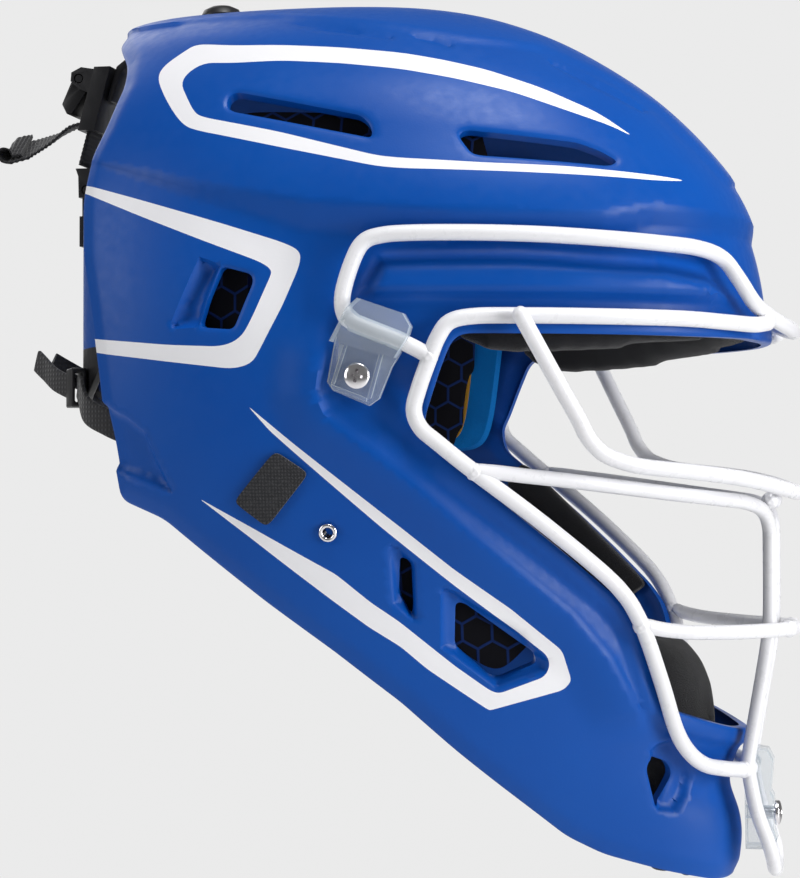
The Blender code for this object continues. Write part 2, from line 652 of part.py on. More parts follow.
def build_plate_hinge():
    """Fork on the strap's end, the pin through it, and the keeper that hangs the plate from the pin."""
    x, _, z = PLATE_HINGE
    bore = as_cutter(pin_along_y("hinge_bore", PLATE_HINGE, PIN_BORE_R, 30))
    fork = prism("strap_end_fork", [(x + 3, z - 3), (x - 3, z - 3), (x - 3.2, z + 5.5), (x - 4.3, z + 8.6),
                                    (x + 1, z + 8.6), (x + 3, z + 6)], -11, 11, TRIM_BLACK)
    room = [(x + 9, z - 9), (x - 9, z - 9), (x - 9, z + 4.5), (x + 9, z + 4.5)]
    cut(fork, as_cutter(prism("fork_room", room, -7.5, 7.5, TRIM_BLACK)))
    cut(fork, bore)
    pin_along_y("plate_hinge_pin", PLATE_HINGE, PIN_R, 21.6)
    keeper = prism("plate_keeper", [(x - 0.4, 40), (x - 2.8, 40), (x - 2.8, 57), (x - 2.4, 62), (x, 63.3),
                                    (x + 2.2, 62), (x + 2.4, 58.5), (x - 0.4, 53.5)], -7, 7, TRIM_BLACK)
    cut(keeper, bore)
    foot = as_cutter(prism("keeper_foot", [(x - 0.4, 38), (x - 2.3, 38), (x - 2.3, 50), (x - 0.4, 50)],
                           -12, 12, TRIM_BLACK))
    cut(keeper, foot, "UNION")


def build_back_adjuster():
    """The strap, buckle, plate and elastics that draw the plate against the back of the head."""
    # Cap and screwed bracket that hold the strap gear to the crown.
    turned("crown_anchor_cap", [(0, 4.2), (4, 4), (7, 2.6), (8, 0.6), (8, 0), (0, 0)],
           (-72, 0, 129.2), (-0.03, 0, 1), TRIM_BLACK, sides=20)
    bracket = [(-86, 120.5), (-105.5, 115), (-112.8, 109.5), (-114.2, 105), (-116.8, 96), (-114.6, 95.5),
               (-112.3, 103), (-110.5, 107.5), (-104.5, 112), (-86, 117.5)]
    prism("buckle_bracket", bracket, -9, 9, TRIM_BLACK)
    build_buckle()
    # Strap: the run that holds the plate, and the tail that is pulled.
    side_to_side = (0, 1, 0)
    drop = [(-120.4, 0, 97), (-123.95, 0, 83.8), (-127.5, 0, 70.6)]
    ribbon("drop_strap", drop, [side_to_side] * len(drop), WEBBING_WIDTH, WEBBING_THICK, WEBBING_BLACK)
    tail = [(-127.6, 0, 87.8), (-133, -0.5, 87), (-141, -1, 82.5), (-149, -1.5, 79), (-155, -2, 77.3),
            (-160, -2, 76.7)]
    lean = [(0, 1, 0.05), (0, 1, 0.2), (0, 1, 0.4), (0, 1, 0.55), (0, 1, 0.6), (0, 1, 0.6)]
    ribbon("strap_tail", tail, lean, WEBBING_WIDTH, WEBBING_THICK, WEBBING_BLACK)
    build_plate_hinge()
    # Plate and its pad.
    centre_x = PLATE_BACK + PLATE_RADIUS
    curved_plate("back_plate", PLATE_RADIUS, PLATE_WALL, 40, (-26, 52), SHELL_BLUE, centre_x, corner=16)
    curved_plate("back_plate_pad", PLATE_RADIUS - PLATE_WALL - GAP, 9, 38, (-24, 48), PAD_BLACK, centre_x,
                 corner=16)
    for side, label in SIDES:
        angle = math.asin(38 / PLATE_RADIUS)
        out = Vector((-math.cos(angle), -side * math.sin(angle), 0))
        along = Vector((-math.sin(angle), side * math.cos(angle), 0))
        centre = Vector((centre_x, 0, -19)) + out * (PLATE_RADIUS + 3.4)
        bm = bmesh.new()
        for a, o, u in [(a, o, u) for a in (-1, 1) for o in (-1, 1) for u in (-1, 1)]:
            bm.verts.new(mm(*(centre + along * 8 * a + out * 2.9 * o + Vector((0, 0, 7.5 * u)))))
        bmesh.ops.convex_hull(bm, input=bm.verts)
        body = add_mesh("strap_slider_" + label, bm, TRIM_BLACK, smooth=False)
        bm = bmesh.new()
        for a, o, u in [(a, o, u) for a in (-1, 1) for o in (-1, 1) for u in (-1, 1)]:
            bm.verts.new(mm(*(centre + along * 12 * a + out * 1.4 * o + Vector((0, 0, 5.6 * u)))))
        bmesh.ops.convex_hull(bm, input=bm.verts)
        cut(body, as_cutter(add_mesh("slider_slot_" + label, bm, TRIM_BLACK, smooth=False)))
        # Elastic from the shell's edge to the slider, and its free tail.
        anchor_y = 76
        run = [(-86, -side * anchor_y, -37), (-97, -side * 70, -33), (-108, -side * 60, -28),
               tuple(centre - along * 10.0)]
        up = (0, 0, 1)
        ribbon("lower_elastic_" + label, run, [up] * len(run), ELASTIC_WIDTH, ELASTIC_THICK, WEBBING_BLACK)
        start = centre + along * 9.0
        free = [tuple(start), (-133, -side * 22, -15), (-140, -side * 14, -10.5), (-145, -side * 9, -7)]
        ribbon("elastic_tail_" + label, free, [up] * len(free), ELASTIC_WIDTH - 1, ELASTIC_THICK, WEBBING_BLACK)
        wall_y = half_width(-84, -38) - SHELL_WALL
        disc("elastic_rivet_" + label, (-84, -side * (wall_y - 2.6), -37), (0.3, side, 0.1), 4.5, 1.6, STEEL,
             sides=16)


def hang_on(pivot, place, names):
    """Parents the named pieces to an empty on their joint's axis, where they already are."""
    empty = bpy.data.objects.new(pivot, None)
    helmet.objects.link(empty)
    empty.location = mm(*place)
    for name in names:
        piece = bpy.data.objects[name]
        piece.parent = empty
        piece.location = -empty.location


# --------------------------------------------------------------------- build
clear_scene()
helmet = new_collection("catchers_helmet")
cutters = new_collection("cutters")

SHELL_BLUE = material("shell_blue", (0.018, 0.085, 0.39), 0.42)
CAGE_WHITE = material("cage_white", (0.86, 0.86, 0.88), 0.25)
CLIP_CLEAR = material("clip_clear", (0.85, 0.9, 0.92), 0.12, alpha=0.4)
STEEL = material("steel", (0.7, 0.7, 0.7), 0.25, metallic=1.0)
PAD_BLACK = material("pad_black", (0.012, 0.013, 0.016), 0.9)
CHIN_BLACK = material("chin_black", (0.015, 0.015, 0.017), 0.95)
TRIM_BLACK = material("trim_black", (0.012, 0.012, 0.014), 0.45)
WEBBING_BLACK = material("webbing_black", (0.014, 0.014, 0.016), 0.85)

build_shell()
build_cage()
build_pads()
for which, side_name in SIDES:
    build_side_clip(which, side_name)
    build_fittings(which, side_name)
build_chin_clip()
build_back_adjuster()
hang_on("back_plate_pivot", PLATE_HINGE, ["back_plate", "back_plate_pad", "plate_keeper", "strap_slider_right",
                                          "strap_slider_left", "elastic_tail_right", "elastic_tail_left"])
hang_on("lever_pivot", LEVER_PIVOT, ["buckle_lever"])
hang_on("drop_strap_slide", (-122.3, 0, 90), ["drop_strap", "strap_end_fork", "plate_hinge_pin"])
hang_on("tail_slide", (-127.6, 0, 87.8), ["strap_tail"])
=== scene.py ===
"""Looks of the catcher's helmet: painted shell, welded cage, clips, padding and strap gear.

Lengths are in millimetres in the frame's axes, and become metres where a mesh, light or camera is made.
"Side view" means (x, z). The studio's own sizes are in metres.
"""

import math

import bmesh
import bpy
import numpy as np
from mathutils import Matrix, Vector
from mathutils.geometry import delaunay_2d_cdt


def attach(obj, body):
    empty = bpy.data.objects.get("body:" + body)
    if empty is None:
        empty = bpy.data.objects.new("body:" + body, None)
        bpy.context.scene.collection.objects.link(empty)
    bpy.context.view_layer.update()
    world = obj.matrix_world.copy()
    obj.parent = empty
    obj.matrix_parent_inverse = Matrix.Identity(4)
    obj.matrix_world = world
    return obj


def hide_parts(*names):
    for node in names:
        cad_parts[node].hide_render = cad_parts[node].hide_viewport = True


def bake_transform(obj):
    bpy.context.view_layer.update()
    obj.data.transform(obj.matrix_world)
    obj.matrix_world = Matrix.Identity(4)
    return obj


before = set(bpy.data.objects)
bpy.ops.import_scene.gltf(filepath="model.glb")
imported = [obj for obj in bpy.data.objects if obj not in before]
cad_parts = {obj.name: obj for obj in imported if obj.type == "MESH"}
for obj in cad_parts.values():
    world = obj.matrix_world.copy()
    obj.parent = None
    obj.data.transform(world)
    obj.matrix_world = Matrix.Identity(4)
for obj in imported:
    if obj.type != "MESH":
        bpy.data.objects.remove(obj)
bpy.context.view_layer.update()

SIDES = ((1, "right"), (-1, "left"))

# ------------------------------------------------------------ the outer form
# Height, front, back, half width, where it is widest, roundness: as in the frame.
SECTIONS = np.array([
    (-215, 128, -90, 42, 10, 1.80),
    (-190, 132, -112, 52, 5, 1.80),
    (-165, 131, -128, 66, 0, 1.85),
    (-145, 134, -136, 74, -4, 1.85),
    (-115, 143, -143, 82, -8, 1.90),
    (-80, 147, -149, 91, -14, 1.95),
    (-40, 147, -152, 98, -16, 2.10),
    (0, 143, -152, 101, -15, 2.25),
    (30, 139, -149, 100, -12, 2.35),
    (60, 127, -142, 95, -10, 2.35),
    (85, 105, -133, 84, -12, 2.30),
    (105, 77, -124, 66, -16, 2.20),
    (118, 50, -114, 46, -22, 2.10),
    (126, 20, -98, 22, -28, 2.00),
    (128.5, -10, -60, 0.2, -32, 2.00),
])
SHELL_WALL = 3.5

FACE_OPENING = [
    (170, -2), (120, -3), (62, -3), (41, -3), (37, -6), (33, -16), (27, -34), (28, -42),
    (43, -54), (60, -68), (76, -82), (92, -97), (98, -105), (101, -115), (106, -134),
    (110, -139), (133, -148), (170, -150),
]
REAR_AND_NECK = [
    (-190, 150), (-114, 150), (-112, 121), (-97, 104), (-95, 95), (-99, 78), (-104, 66),
    (-106, 50), (-104, 28), (-100, 8), (-97, -16), (-96, -27), (-93, -40), (-90, -62),
    (-72, -69), (-59, -79), (-33, -99), (-8, -117), (15, -135), (34, -153), (53, -170),
    (71, -186), (84, -193), (106, -200), (125, -205), (140, -203), (170, -203),
    (170, -250), (-190, -250),
]
VENTS = {
    "crown_rear": [(-48, 85), (-45, 87), (3, 76), (7, 72), (8, 67), (-45, 79), (-48, 81)],
    "crown_front": [(38, 68), (41, 70), (79, 66), (87, 63), (93, 59), (90, 57), (46, 60), (43, 61)],
    "ear": [(-46, 22), (-35, 19), (-34, 16), (-41, -1), (-54, 0), (-51, 10)],
    "jaw_small": [(17, -82), (21, -84), (21, -100), (20, -104), (16, -96)],
    "jaw_large": [(36, -99), (39, -99), (63, -117), (64, -121), (50, -127), (47, -126), (35, -115)],
    "chin": [(102, -156), (109, -159), (111, -164), (103, -176), (100, -160)],
}

EYELET = (-8, -73)
EYELET_HOLE = [(EYELET[0] + 2.6 * math.cos(math.pi * k / 6), EYELET[1] + 2.6 * math.sin(math.pi * k / 6))
               for k in range(12)]

# Painted bands in the side view: out along the outer edge and back along the inner one.
STRIPES = {
    "crown": [
        (98, 69), (85, 78), (65, 87), (45, 94), (29, 98), (14, 101), (-10, 104), (-32, 106), (-51, 107),
        (-67, 109), (-71, 106), (-78, 100), (-79, 95), (-74, 87), (-68, 79), (-63, 74), (-58, 72),
        (-25, 64), (10, 56), (19, 55), (48, 54), (77, 53), (105, 52), (116, 53), (105, 54), (77, 56),
        (48, 57), (18, 59), (10, 60), (-26, 70), (-56, 77), (-60, 79), (-69, 93), (-62, 100), (-49, 99),
        (-30, 99), (-8, 97), (15, 94), (35, 90), (55, 85), (75, 78), (90, 73),
    ],
    "ear": [
        (-112, 57.2), (-105, 55), (-78, 47), (-45, 37), (-23, 30), (-17, 27), (-17, 22), (-23, 7),
        (-31, -8),
        (-34, -13), (-41, -15), (-66, -12), (-97, -8), (-104, -7.4), (-104, -2.6), (-97, -3), (-66, -6),
        (-45, -7), (-38, -4), (-34, 3), (-28, 17), (-27, 20), (-31, 23), (-55, 32), (-78, 41), (-105, 52),
        (-112, 54.2),
    ],
    "jaw": [
        (-36, -28), (-25, -37), (4, -60), (19, -72), (36, -86), (55, -100), (72, -115), (75, -126),
        (74, -128), (72, -130), (47, -137), (46, -137), (25, -122), (16, -114), (5, -107), (-7, -98),
        (-37, -75), (-56, -61), (-37, -71), (-6, -88), (6, -98), (16, -105), (35, -121), (47, -130),
        (50, -131), (66, -125), (68, -121), (67, -117), (55, -107), (36, -92), (12, -72), (4, -65),
        (-28, -37),
    ],
}
STRIPE_CORNER = {"crown": 5.0, "ear": 5.0, "jaw": 2.2}

# Recesses moulded round the vents and at the rear: outline, and depth.
RECESSES = {
    "ear": ([(-54.4, 25.5), (-46, 22.5), (-51, 10), (-54, 0), (-66, -0.5)], 4.0),
    "jaw_small": ([(13, -76.8), (17, -77.5), (23, -84), (22.8, -104), (21, -105.5), (13.5, -99)], 2.4),
    "jaw_large": ([(31, -92), (36.5, -94), (58.5, -108.5), (68, -119), (67, -123.5), (49, -129.5),
                   (30, -114.5)], 3.0),
    "chin": ([(101, -153), (104, -150.5), (110, -149), (115, -157), (117.5, -165.5), (114.5, -173),
              (110, -178), (103, -177)], 3.0),
    "rear": ([(-104, -22), (-84, -31), (-76, -37), (-72, -47), (-65.5, -60), (-90, -52), (-104, -47)], 2.6),
    "crown_a": ([(-40, 119.5), (-10, 115), (12, 108.5), (8, 107), (-20, 112)], 1.6),
    "crown_b": ([(11, 111), (24, 109), (34, 104.5), (30, 103.5), (18, 107)], 1.8),
    "crown_c": ([(61, 103), (70, 99), (88, 90), (102, 82), (99, 80.5), (80, 90), (66, 98)], 2.0),
}

# Lines and outlines that the relief follows; the crown's crease has its own size at each point.
CROWN_CREASE = [(-99, 63), (-55, 52), (-14, 44), (37, 40), (88, 39), (105, 43), (136, 42)]
CROWN_CREASE_BAND = [0.5, 5, 10, 10, 9, 7, 6]
CROWN_CREASE_STEP = [0.2, 2.0, 5.4, 6.4, 6.4, 4.6, 3.0]
JAW_RIDGE = [(-7.5, 4), (-8, -8), (-10.5, -24), (-7.5, -31), (0, -36.5), (25, -56), (41, -71), (76, -102),
             (88, -118), (97, -138), (99, -150)]
BROW_PANEL = [(11, 25), (60, 25.5), (108, 23), (124, 20), (132, 12), (136, -1), (150, -30), (30, -30),
              (14, -10), (4, 0), (4, 10)]
CROWN_SPINE = [(-80, 121), (-38, 120), (12, 111), (34, 106), (61, 104), (86, 93), (103, 82), (119, 65),
               (130, 50)]

# How far each moulded feature stands out or sinks in, and from where to where its slope runs.
CROWN_BULGE = 30
CREASE_RECOVERY = (14, 52)
PANEL_LIFT = 4.8
PANEL_RISE = (-1.0, 6.5)
PANEL_FOOT = (8.5, 13.5)
GROOVE_DEPTH, GROOVE_FROM_PANEL, GROOVE_WIDTH = 1.6, 4, 3.5
RIDGE_LIFT, RIDGE_REACH = 4.0, 20
RIDGE_DROP, RIDGE_DROP_WIDTH = 1.4, 1.8
VALLEY_DEPTH, VALLEY_WIDTH = 3.8, 8
RIDGE_FADE = (24, 46)
FLANGE_LIFT, FLANGE_EXTRA_ON_JAW = 1.8, 0.8
FLANGE_EDGE = (4.5, 8.5)
FLANGE_TOP = 20
CHIN_HOLLOW, CHIN_HOLLOW_HEIGHT, CHIN_HOLLOW_WIDTH = 3.4, -167, 10
RIM_FOLD, RIM_FOLD_SPAN = 1.4, (0.5, 7.0)
SPINE_LIFT, SPINE_RISE = 1.3, (-0.5, 2.5)
RECESS_SLOPE = 2.4
EDGE_ROUNDING = 0.7


def mm(*values):
    return Vector(values) / 1000.0


def lerp(a, b, t):
    return a + (b - a) * t


def ramp(value, start, end):
    """0 before start, 1 after end, smooth between them."""
    t = np.clip((np.asarray(value, float) - start) / (end - start), 0, 1)
    return t * t * (3 - 2 * t)


_span = np.diff(SECTIONS[:, 0])
_low = np.r_[0, np.arange(len(SECTIONS) - 1)]
_high = np.r_[np.arange(1, len(SECTIONS)), len(SECTIONS) - 1]
_slopes = (SECTIONS[_high, 1:] - SECTIONS[_low, 1:]) / (SECTIONS[_high, :1] - SECTIONS[_low, :1])


def section(z):
    """Front, back, half width, widest x and roundness of the form at each height z."""
    z = np.clip(np.asarray(z, float), SECTIONS[0, 0], SECTIONS[-1, 0])
    i = np.clip(np.searchsorted(SECTIONS[:, 0], z, side="right") - 1, 0, len(SECTIONS) - 2)
    t = ((z - SECTIONS[i, 0]) / _span[i])[..., None]
    span = _span[i][..., None]
    value = ((2 * t**3 - 3 * t**2 + 1) * SECTIONS[i, 1:] + (t**3 - 2 * t**2 + t) * span * _slopes[i]
             + (3 * t**2 - 2 * t**3) * SECTIONS[i + 1, 1:] + (t**3 - t**2) * span * _slopes[i + 1])
    # The last stretch closes like a dome, so that the crown has no ridge.
    below, top = SECTIONS[-2], SECTIONS[-1]
    closing = np.sqrt(np.clip((top[0] - z) / (top[0] - below[0]), 0, 1))[..., None]
    domed = top[1:4] + (below[1:4] - top[1:4]) * closing
    value[..., :3] = np.where(z[..., None] > below[0], domed, value[..., :3])
    return np.moveaxis(value, -1, 0)


def form(z, turn):
    """Points of the outer form on the wearer's right; turn is 0 at the front and 180 at the back."""
    front, back, half, widest, power = section(z)
    c, s = np.cos(np.radians(turn)), np.sin(np.radians(turn))
    reach = np.where(c > 0, front - widest, widest - back)
    x = widest + np.sign(c) * reach * np.abs(c) ** (2 / power)
    y = -half * np.abs(s) ** (2 / power)
    return np.stack([x, y, np.asarray(z, float) + 0 * x], axis=-1)


def turn_at(x, z):
    """Which turn of the form (x, z) of the side view lies at."""
    front, back, _, widest, power = section(z)
    reach = np.where(x > widest, front - widest, widest - back)
    share = np.clip(np.abs(x - widest) / reach, 0, 1) ** (power / 2)
    turn = np.degrees(np.arccos(share))
    return np.where(x > widest, turn, 180 - turn)


def half_width(x, z):
    front, back, half, widest, power = section(z)
    reach = np.where(x > widest, front - widest, widest - back)
    share = np.clip(np.abs(x - widest) / reach, 0, 1)
    return half * (1 - share**power) ** (1 / power)


def side_normal(x, z, side):
    slope_x = (half_width(x + 1, z) - half_width(x - 1, z)) / 2
    slope_z = (half_width(x, z + 1) - half_width(x, z - 1)) / 2
    return Vector((-slope_x, -side, -slope_z)).normalized()


def side_point(x, z, side, lift=0.0):
    """Where (x, z) of the side view meets the outer form, raised along its normal."""
    return Vector((x, -side * float(half_width(x, z)), z)) + lift * side_normal(x, z, side)


# ----------------------------------------------------------- outlines in 2D
def densified(points, step, closed):
    result = []
    pairs = zip(points, points[1:] + points[:1]) if closed else zip(points, points[1:])
    for a, b in pairs:
        pieces = max(1, math.ceil(math.dist(a, b) / step))
        result += [(lerp(a[0], b[0], k / pieces), lerp(a[1], b[1], k / pieces)) for k in range(pieces)]
    return result if closed else [*result, points[-1]]


CORNER_PIECES = 5


def rounded(points, radius):
    """A closed outline with each corner turned into a curve that starts radius away from it."""
    count = len(points)
    result = []
    for i, corner in enumerate(points):
        corner = Vector(corner)
        before, after = Vector(points[i - 1]), Vector(points[(i + 1) % count])
        cut_in = min(radius, 0.48 * (before - corner).length)
        cut_out = min(radius, 0.48 * (after - corner).length)
        start = corner + (before - corner).normalized() * cut_in
        end = corner + (after - corner).normalized() * cut_out
        for k in range(CORNER_PIECES + 1):
            t = k / CORNER_PIECES
            result.append(tuple((1 - t) ** 2 * start + 2 * t * (1 - t) * corner + t * t * end))
    return result


def shifted(points, distance):
    """A closed outline moved inwards by distance (outwards if negative)."""
    area = sum(a[0] * b[1] - b[0] * a[1] for a, b in zip(points, points[1:] + points[:1]))
    result = []
    for i, here in enumerate(points):
        ahead = Vector(points[(i + 1) % len(points)]) - Vector(points[i - 1])
        inward = Vector((-ahead.y, ahead.x)).normalized() * math.copysign(1, area)
        result.append(tuple(Vector(here) + inward * distance))
    return result


def inside(points, x, z):
    """True where (x, z) lies inside a closed outline."""
    result = np.zeros(np.shape(x), bool)
    for (x0, z0), (x1, z1) in zip(points, points[1:] + points[:1]):
        if z0 == z1:
            continue
        crosses = (z0 > z) != (z1 > z)
        result ^= crosses & (x < (x1 - x0) * (z - z0) / (z1 - z0) + x0)
    return result


def to_line(points, x, z, closed=False):
    """Distance to a line, which side it lies on (1 on its left), and how far along, in points."""
    best = np.full(np.shape(x), 1e9)
    side = np.ones(np.shape(x))
    along = np.zeros(np.shape(x))
    ends = zip(points, points[1:] + points[:1]) if closed else zip(points, points[1:])
    for i, ((x0, z0), (x1, z1)) in enumerate(ends):
        dx, dz = x1 - x0, z1 - z0
        length = max(dx * dx + dz * dz, 1e-9)
        t = np.clip(((x - x0) * dx + (z - z0) * dz) / length, 0, 1)
        away = np.hypot(x - x0 - t * dx, z - z0 - t * dz)
        nearer = away < best
        best = np.where(nearer, away, best)
        side = np.where(nearer, np.where(dx * (z - z0) - dz * (x - x0) >= 0, 1, -1), side)
        along = np.where(nearer, i + t, along)
    return best, side, along


def depth_in(points, x, z):
    """Distance inside a closed outline, negative outside it."""
    away, _, _ = to_line(points, x, z, closed=True)
    return np.where(inside(points, x, z), away, -away)


OPENINGS = [rounded(FACE_OPENING, 4), rounded(REAR_AND_NECK, 4)]
OPENINGS += [rounded(vent_outline, 2.4) for vent_outline in VENTS.values()]
OPENINGS.append(EYELET_HOLE)
PAINTED = [rounded(outline, STRIPE_CORNER[name]) for name, outline in STRIPES.items()]
RIM_ROWS = (0.0, 0.7, 1.6)


# ------------------------------------------------------------------- relief
def relief(x, z):
    """How far the moulded surface stands above the plain form at (x, z), in millimetres."""
    lift = np.zeros(np.shape(x))

    # Crown that overhangs the brow, with a band under it that faces down.
    away, side, along = to_line(CROWN_CREASE, x, z)
    step = np.interp(along, range(len(CROWN_CREASE)), CROWN_CREASE_STEP)
    width = np.interp(along, range(len(CROWN_CREASE)), CROWN_CREASE_BAND)
    below = np.clip(away / width, 0, 1)
    lift += np.where(side > 0, 0.5 * step * (1 - ramp(away, 0, CROWN_BULGE)),
                     np.where(away < width, step * (0.5 - below),
                              -0.5 * step * (1 - ramp(away, *CREASE_RECOVERY))))

    # Raised panel in the brow wire's loop, with a groove round it for the wire.
    depth = depth_in(BROW_PANEL, x, z)
    lift += PANEL_LIFT * ramp(depth, *PANEL_RISE) * ramp(z, *PANEL_FOOT)
    lift -= GROOVE_DEPTH * np.exp(-((depth + GROOVE_FROM_PANEL) / GROOVE_WIDTH) ** 2)

    # Ridge beside the face opening: the jaw rises to it, drops by a small step and falls into a valley.
    away, side, along = to_line(JAW_RIDGE, x, z)
    on_jaw = ramp(along, 0, 1.5) * (1 - ramp(along, 8.5, 10)) * (1 - ramp(away, *RIDGE_FADE))
    before = RIDGE_LIFT * (1 - ramp(away, 0, RIDGE_REACH))
    valley = (RIDGE_LIFT - RIDGE_DROP * ramp(away, 0, RIDGE_DROP_WIDTH)
              - VALLEY_DEPTH * np.clip((away - RIDGE_DROP_WIDTH / 2) / VALLEY_WIDTH, 0, 1))
    lift += on_jaw * np.where(side < 0, before, valley)

    # Flange along the lower edge of the brow and the edge of the jaw.
    edge = -depth_in(FACE_OPENING, x, z)
    flange = (FLANGE_LIFT + FLANGE_EXTRA_ON_JAW * on_jaw) * (1 - ramp(edge, *FLANGE_EDGE))
    lift += np.where(z < FLANGE_TOP, flange, 0) * ramp(x, 22, 36)

    # The chin draws in under its rim, where the clip sits.
    hollow = np.exp(-(((z - CHIN_HOLLOW_HEIGHT) / CHIN_HOLLOW_WIDTH) ** 2))
    lift -= CHIN_HOLLOW * hollow * ramp(x, 104, 122)

    # The shell's rear and lower edges fold in a little.
    rim = -depth_in(REAR_AND_NECK, x, z)
    lift -= RIM_FOLD * (1 - ramp(rim, *RIM_FOLD_SPAN))

    # Spine along the crown.
    away, side, _ = to_line(CROWN_SPINE, x, z)
    spine = SPINE_LIFT * ramp(side * away, *SPINE_RISE) * (1 - ramp(z, 60, 50))
    lift += np.where(x < 128, spine, 0)

    # Recesses: each falls towards the middle of its vent.
    for outline, deep in RECESSES.values():
        lift -= deep * ramp(depth_in(outline, x, z), 0, RECESS_SLOPE)

    # Every cut edge is rounded over.
    for outline in OPENINGS:
        lift -= EDGE_ROUNDING * np.clip(1 + depth_in(outline, x, z) / RIM_ROWS[-1], 0, 1) ** 2
    return lift


# -------------------------------------------------------------------- shell
GRID_STEP = 1.9
ROW_STEP = GRID_STEP * 0.866
CLEARANCE = 0.62 * GRID_STEP
MERGE_DISTANCE = 0.02
SLIVER = 1e-4
OUTLINE_STEP = 1.3
Z_LOW, Z_HIGH = -206.0, 128.5
_heights = Z_HIGH - (Z_HIGH - Z_LOW) * np.linspace(1, 0, 900) ** 2
_turns = np.linspace(0, 180, 91)
_rings = form(_heights[:, None], _turns[None, :])
_girth = np.linalg.norm(np.diff(_rings, axis=1), axis=2).sum(axis=1)
_middle = _rings[:, 45]
_climb = np.r_[0, np.cumsum(np.linalg.norm(np.diff(_middle, axis=0), axis=1))]


def unroll(z, turn):
    """Flat coordinates in which distances are close to those on the form."""
    around = (turn / 180 - 0.5) * np.interp(z, _heights, _girth)
    return np.stack([around, np.interp(z, _heights, _climb)], axis=-1)


def roll(flat):
    """Height and turn of points given in unroll's coordinates."""
    z = np.interp(flat[:, 1], _climb, _heights)
    return z, 180 * (flat[:, 0] / np.interp(z, _heights, _girth) + 0.5)


def flat_outline(points, closed=True):
    """A side-view line or outline in unroll's coordinates, with a point every OUTLINE_STEP."""
    xz = np.array(densified(points, OUTLINE_STEP, closed))
    z = np.clip(xz[:, 1], Z_LOW, Z_HIGH)
    return unroll(z, turn_at(xz[:, 0], z))


def beside(line, offsets):
    """An open line moved to its right by an offset at each of its points."""
    result = []
    for i, (here, offset) in enumerate(zip(line, offsets)):
        ahead = Vector(line[min(i + 1, len(line) - 1)]) - Vector(line[max(i - 1, 0)])
        result.append(tuple(Vector(here) + Vector((ahead.y, -ahead.x)).normalized() * offset))
    return result


def shell_half():
    """Half of the shell's outer surface as points, triangles and which triangles are painted."""
    loops = [flat_outline(shifted(outline, -row)) for outline in OPENINGS for row in RIM_ROWS]
    loops += [flat_outline(outline) for outline in PAINTED]
    for outline, _ in RECESSES.values():
        loops += [flat_outline(outline), flat_outline(shifted(rounded(outline, 1.5), 1.2))]
    loops += [flat_outline(shifted(rounded(BROW_PANEL, 6), depth)) for depth in PANEL_RISE]
    lines = [flat_outline(beside(JAW_RIDGE, [-out] * len(JAW_RIDGE)), closed=False)
             for out in (0, RIDGE_DROP_WIDTH)]
    lines += [flat_outline(beside(CROWN_CREASE, [share * width for width in CROWN_CREASE_BAND]),
                           closed=False) for share in (0, 0.5, 1)]
    # The half's own edges: its front, its back and its top.
    for turn in (0.0, 180.0):
        z = np.interp(np.linspace(_climb[0], _climb[-1], 240), _climb, _heights)
        lines.append(unroll(z, np.full(len(z), turn)))
    top = np.linspace(0, 180, 30)
    lines.append(unroll(np.full(len(top), Z_HIGH), top))

    fixed = np.concatenate(loops + lines)
    rows = np.arange(_climb[0], _climb[-1], ROW_STEP)
    grid = []
    for k, row in enumerate(rows):
        reach = np.interp(row, _climb, _girth) / 2 - 0.6 * GRID_STEP
        across = np.arange(-reach + (k % 2) * GRID_STEP / 2, reach, GRID_STEP)
        grid.append(np.stack([across, np.full(len(across), row)], axis=1))
    grid = np.concatenate(grid)
    grid = grid[far_from(grid, fixed, CLEARANCE)]

    points = [Vector(p) for p in fixed] + [Vector(p) for p in grid]
    edges = []
    start = 0
    for loop in loops:
        edges += [(start + i, start + (i + 1) % len(loop)) for i in range(len(loop))]
        start += len(loop)
    for line in lines:
        edges += [(start + i, start + i + 1) for i in range(len(line) - 1)]
        start += len(line)
    flat, _, faces, _, _, _ = delaunay_2d_cdt(points, edges, [], 0, MERGE_DISTANCE)
    flat = np.array([tuple(p) for p in flat])
    faces = np.array([tuple(f) for f in faces])

    middle = flat[faces].mean(axis=1)
    z, turn = roll(middle)
    x = form(z, np.clip(turn, 0, 180))[:, 0]
    keep = (turn > 0) & (turn < 180) & (middle[:, 1] < _climb[-1])
    for outline in OPENINGS:
        keep &= ~inside(outline, x, z)
    corners = flat[faces]
    size = np.abs(np.cross(corners[:, 1] - corners[:, 0], corners[:, 2] - corners[:, 0]))
    keep &= size > SLIVER
    white = np.zeros(len(faces), bool)
    for outline in PAINTED:
        white |= inside(outline, x, z)
    return flat, faces[keep], white[keep]


def far_from(points, others, distance):
    """Which points lie at least distance from every one of the others."""
    cells = {}
    for other in others:
        cells.setdefault((int(other[0] // distance), int(other[1] // distance)), []).append(other)
    far = np.ones(len(points), bool)
    for i, point in enumerate(points):
        cx, cy = int(point[0] // distance), int(point[1] // distance)
        near = [o for dx in (-1, 0, 1) for dy in (-1, 0, 1) for o in cells.get((cx + dx, cy + dy), ())]
        far[i] = all((o[0] - point[0]) ** 2 + (o[1] - point[1]) ** 2 > distance**2 for o in near)
    return far


def new_object(name, data, materials=()):
    obj = bpy.data.objects.new(name, data)
    bpy.context.scene.collection.objects.link(obj)
    for made in materials:
        data.materials.append(made)
    return obj


def made_mesh(name, bm):
    """A mesh from a bmesh, which is freed."""
    mesh = bpy.data.meshes.new(name)
    bm.to_mesh(mesh)
    bm.free()
    return mesh


def shade(mesh, angle):
    """Smooth shading that keeps edges sharper than an angle, in degrees."""
    mesh.shade_smooth()
    mesh.set_sharp_from_angle(angle=math.radians(angle))


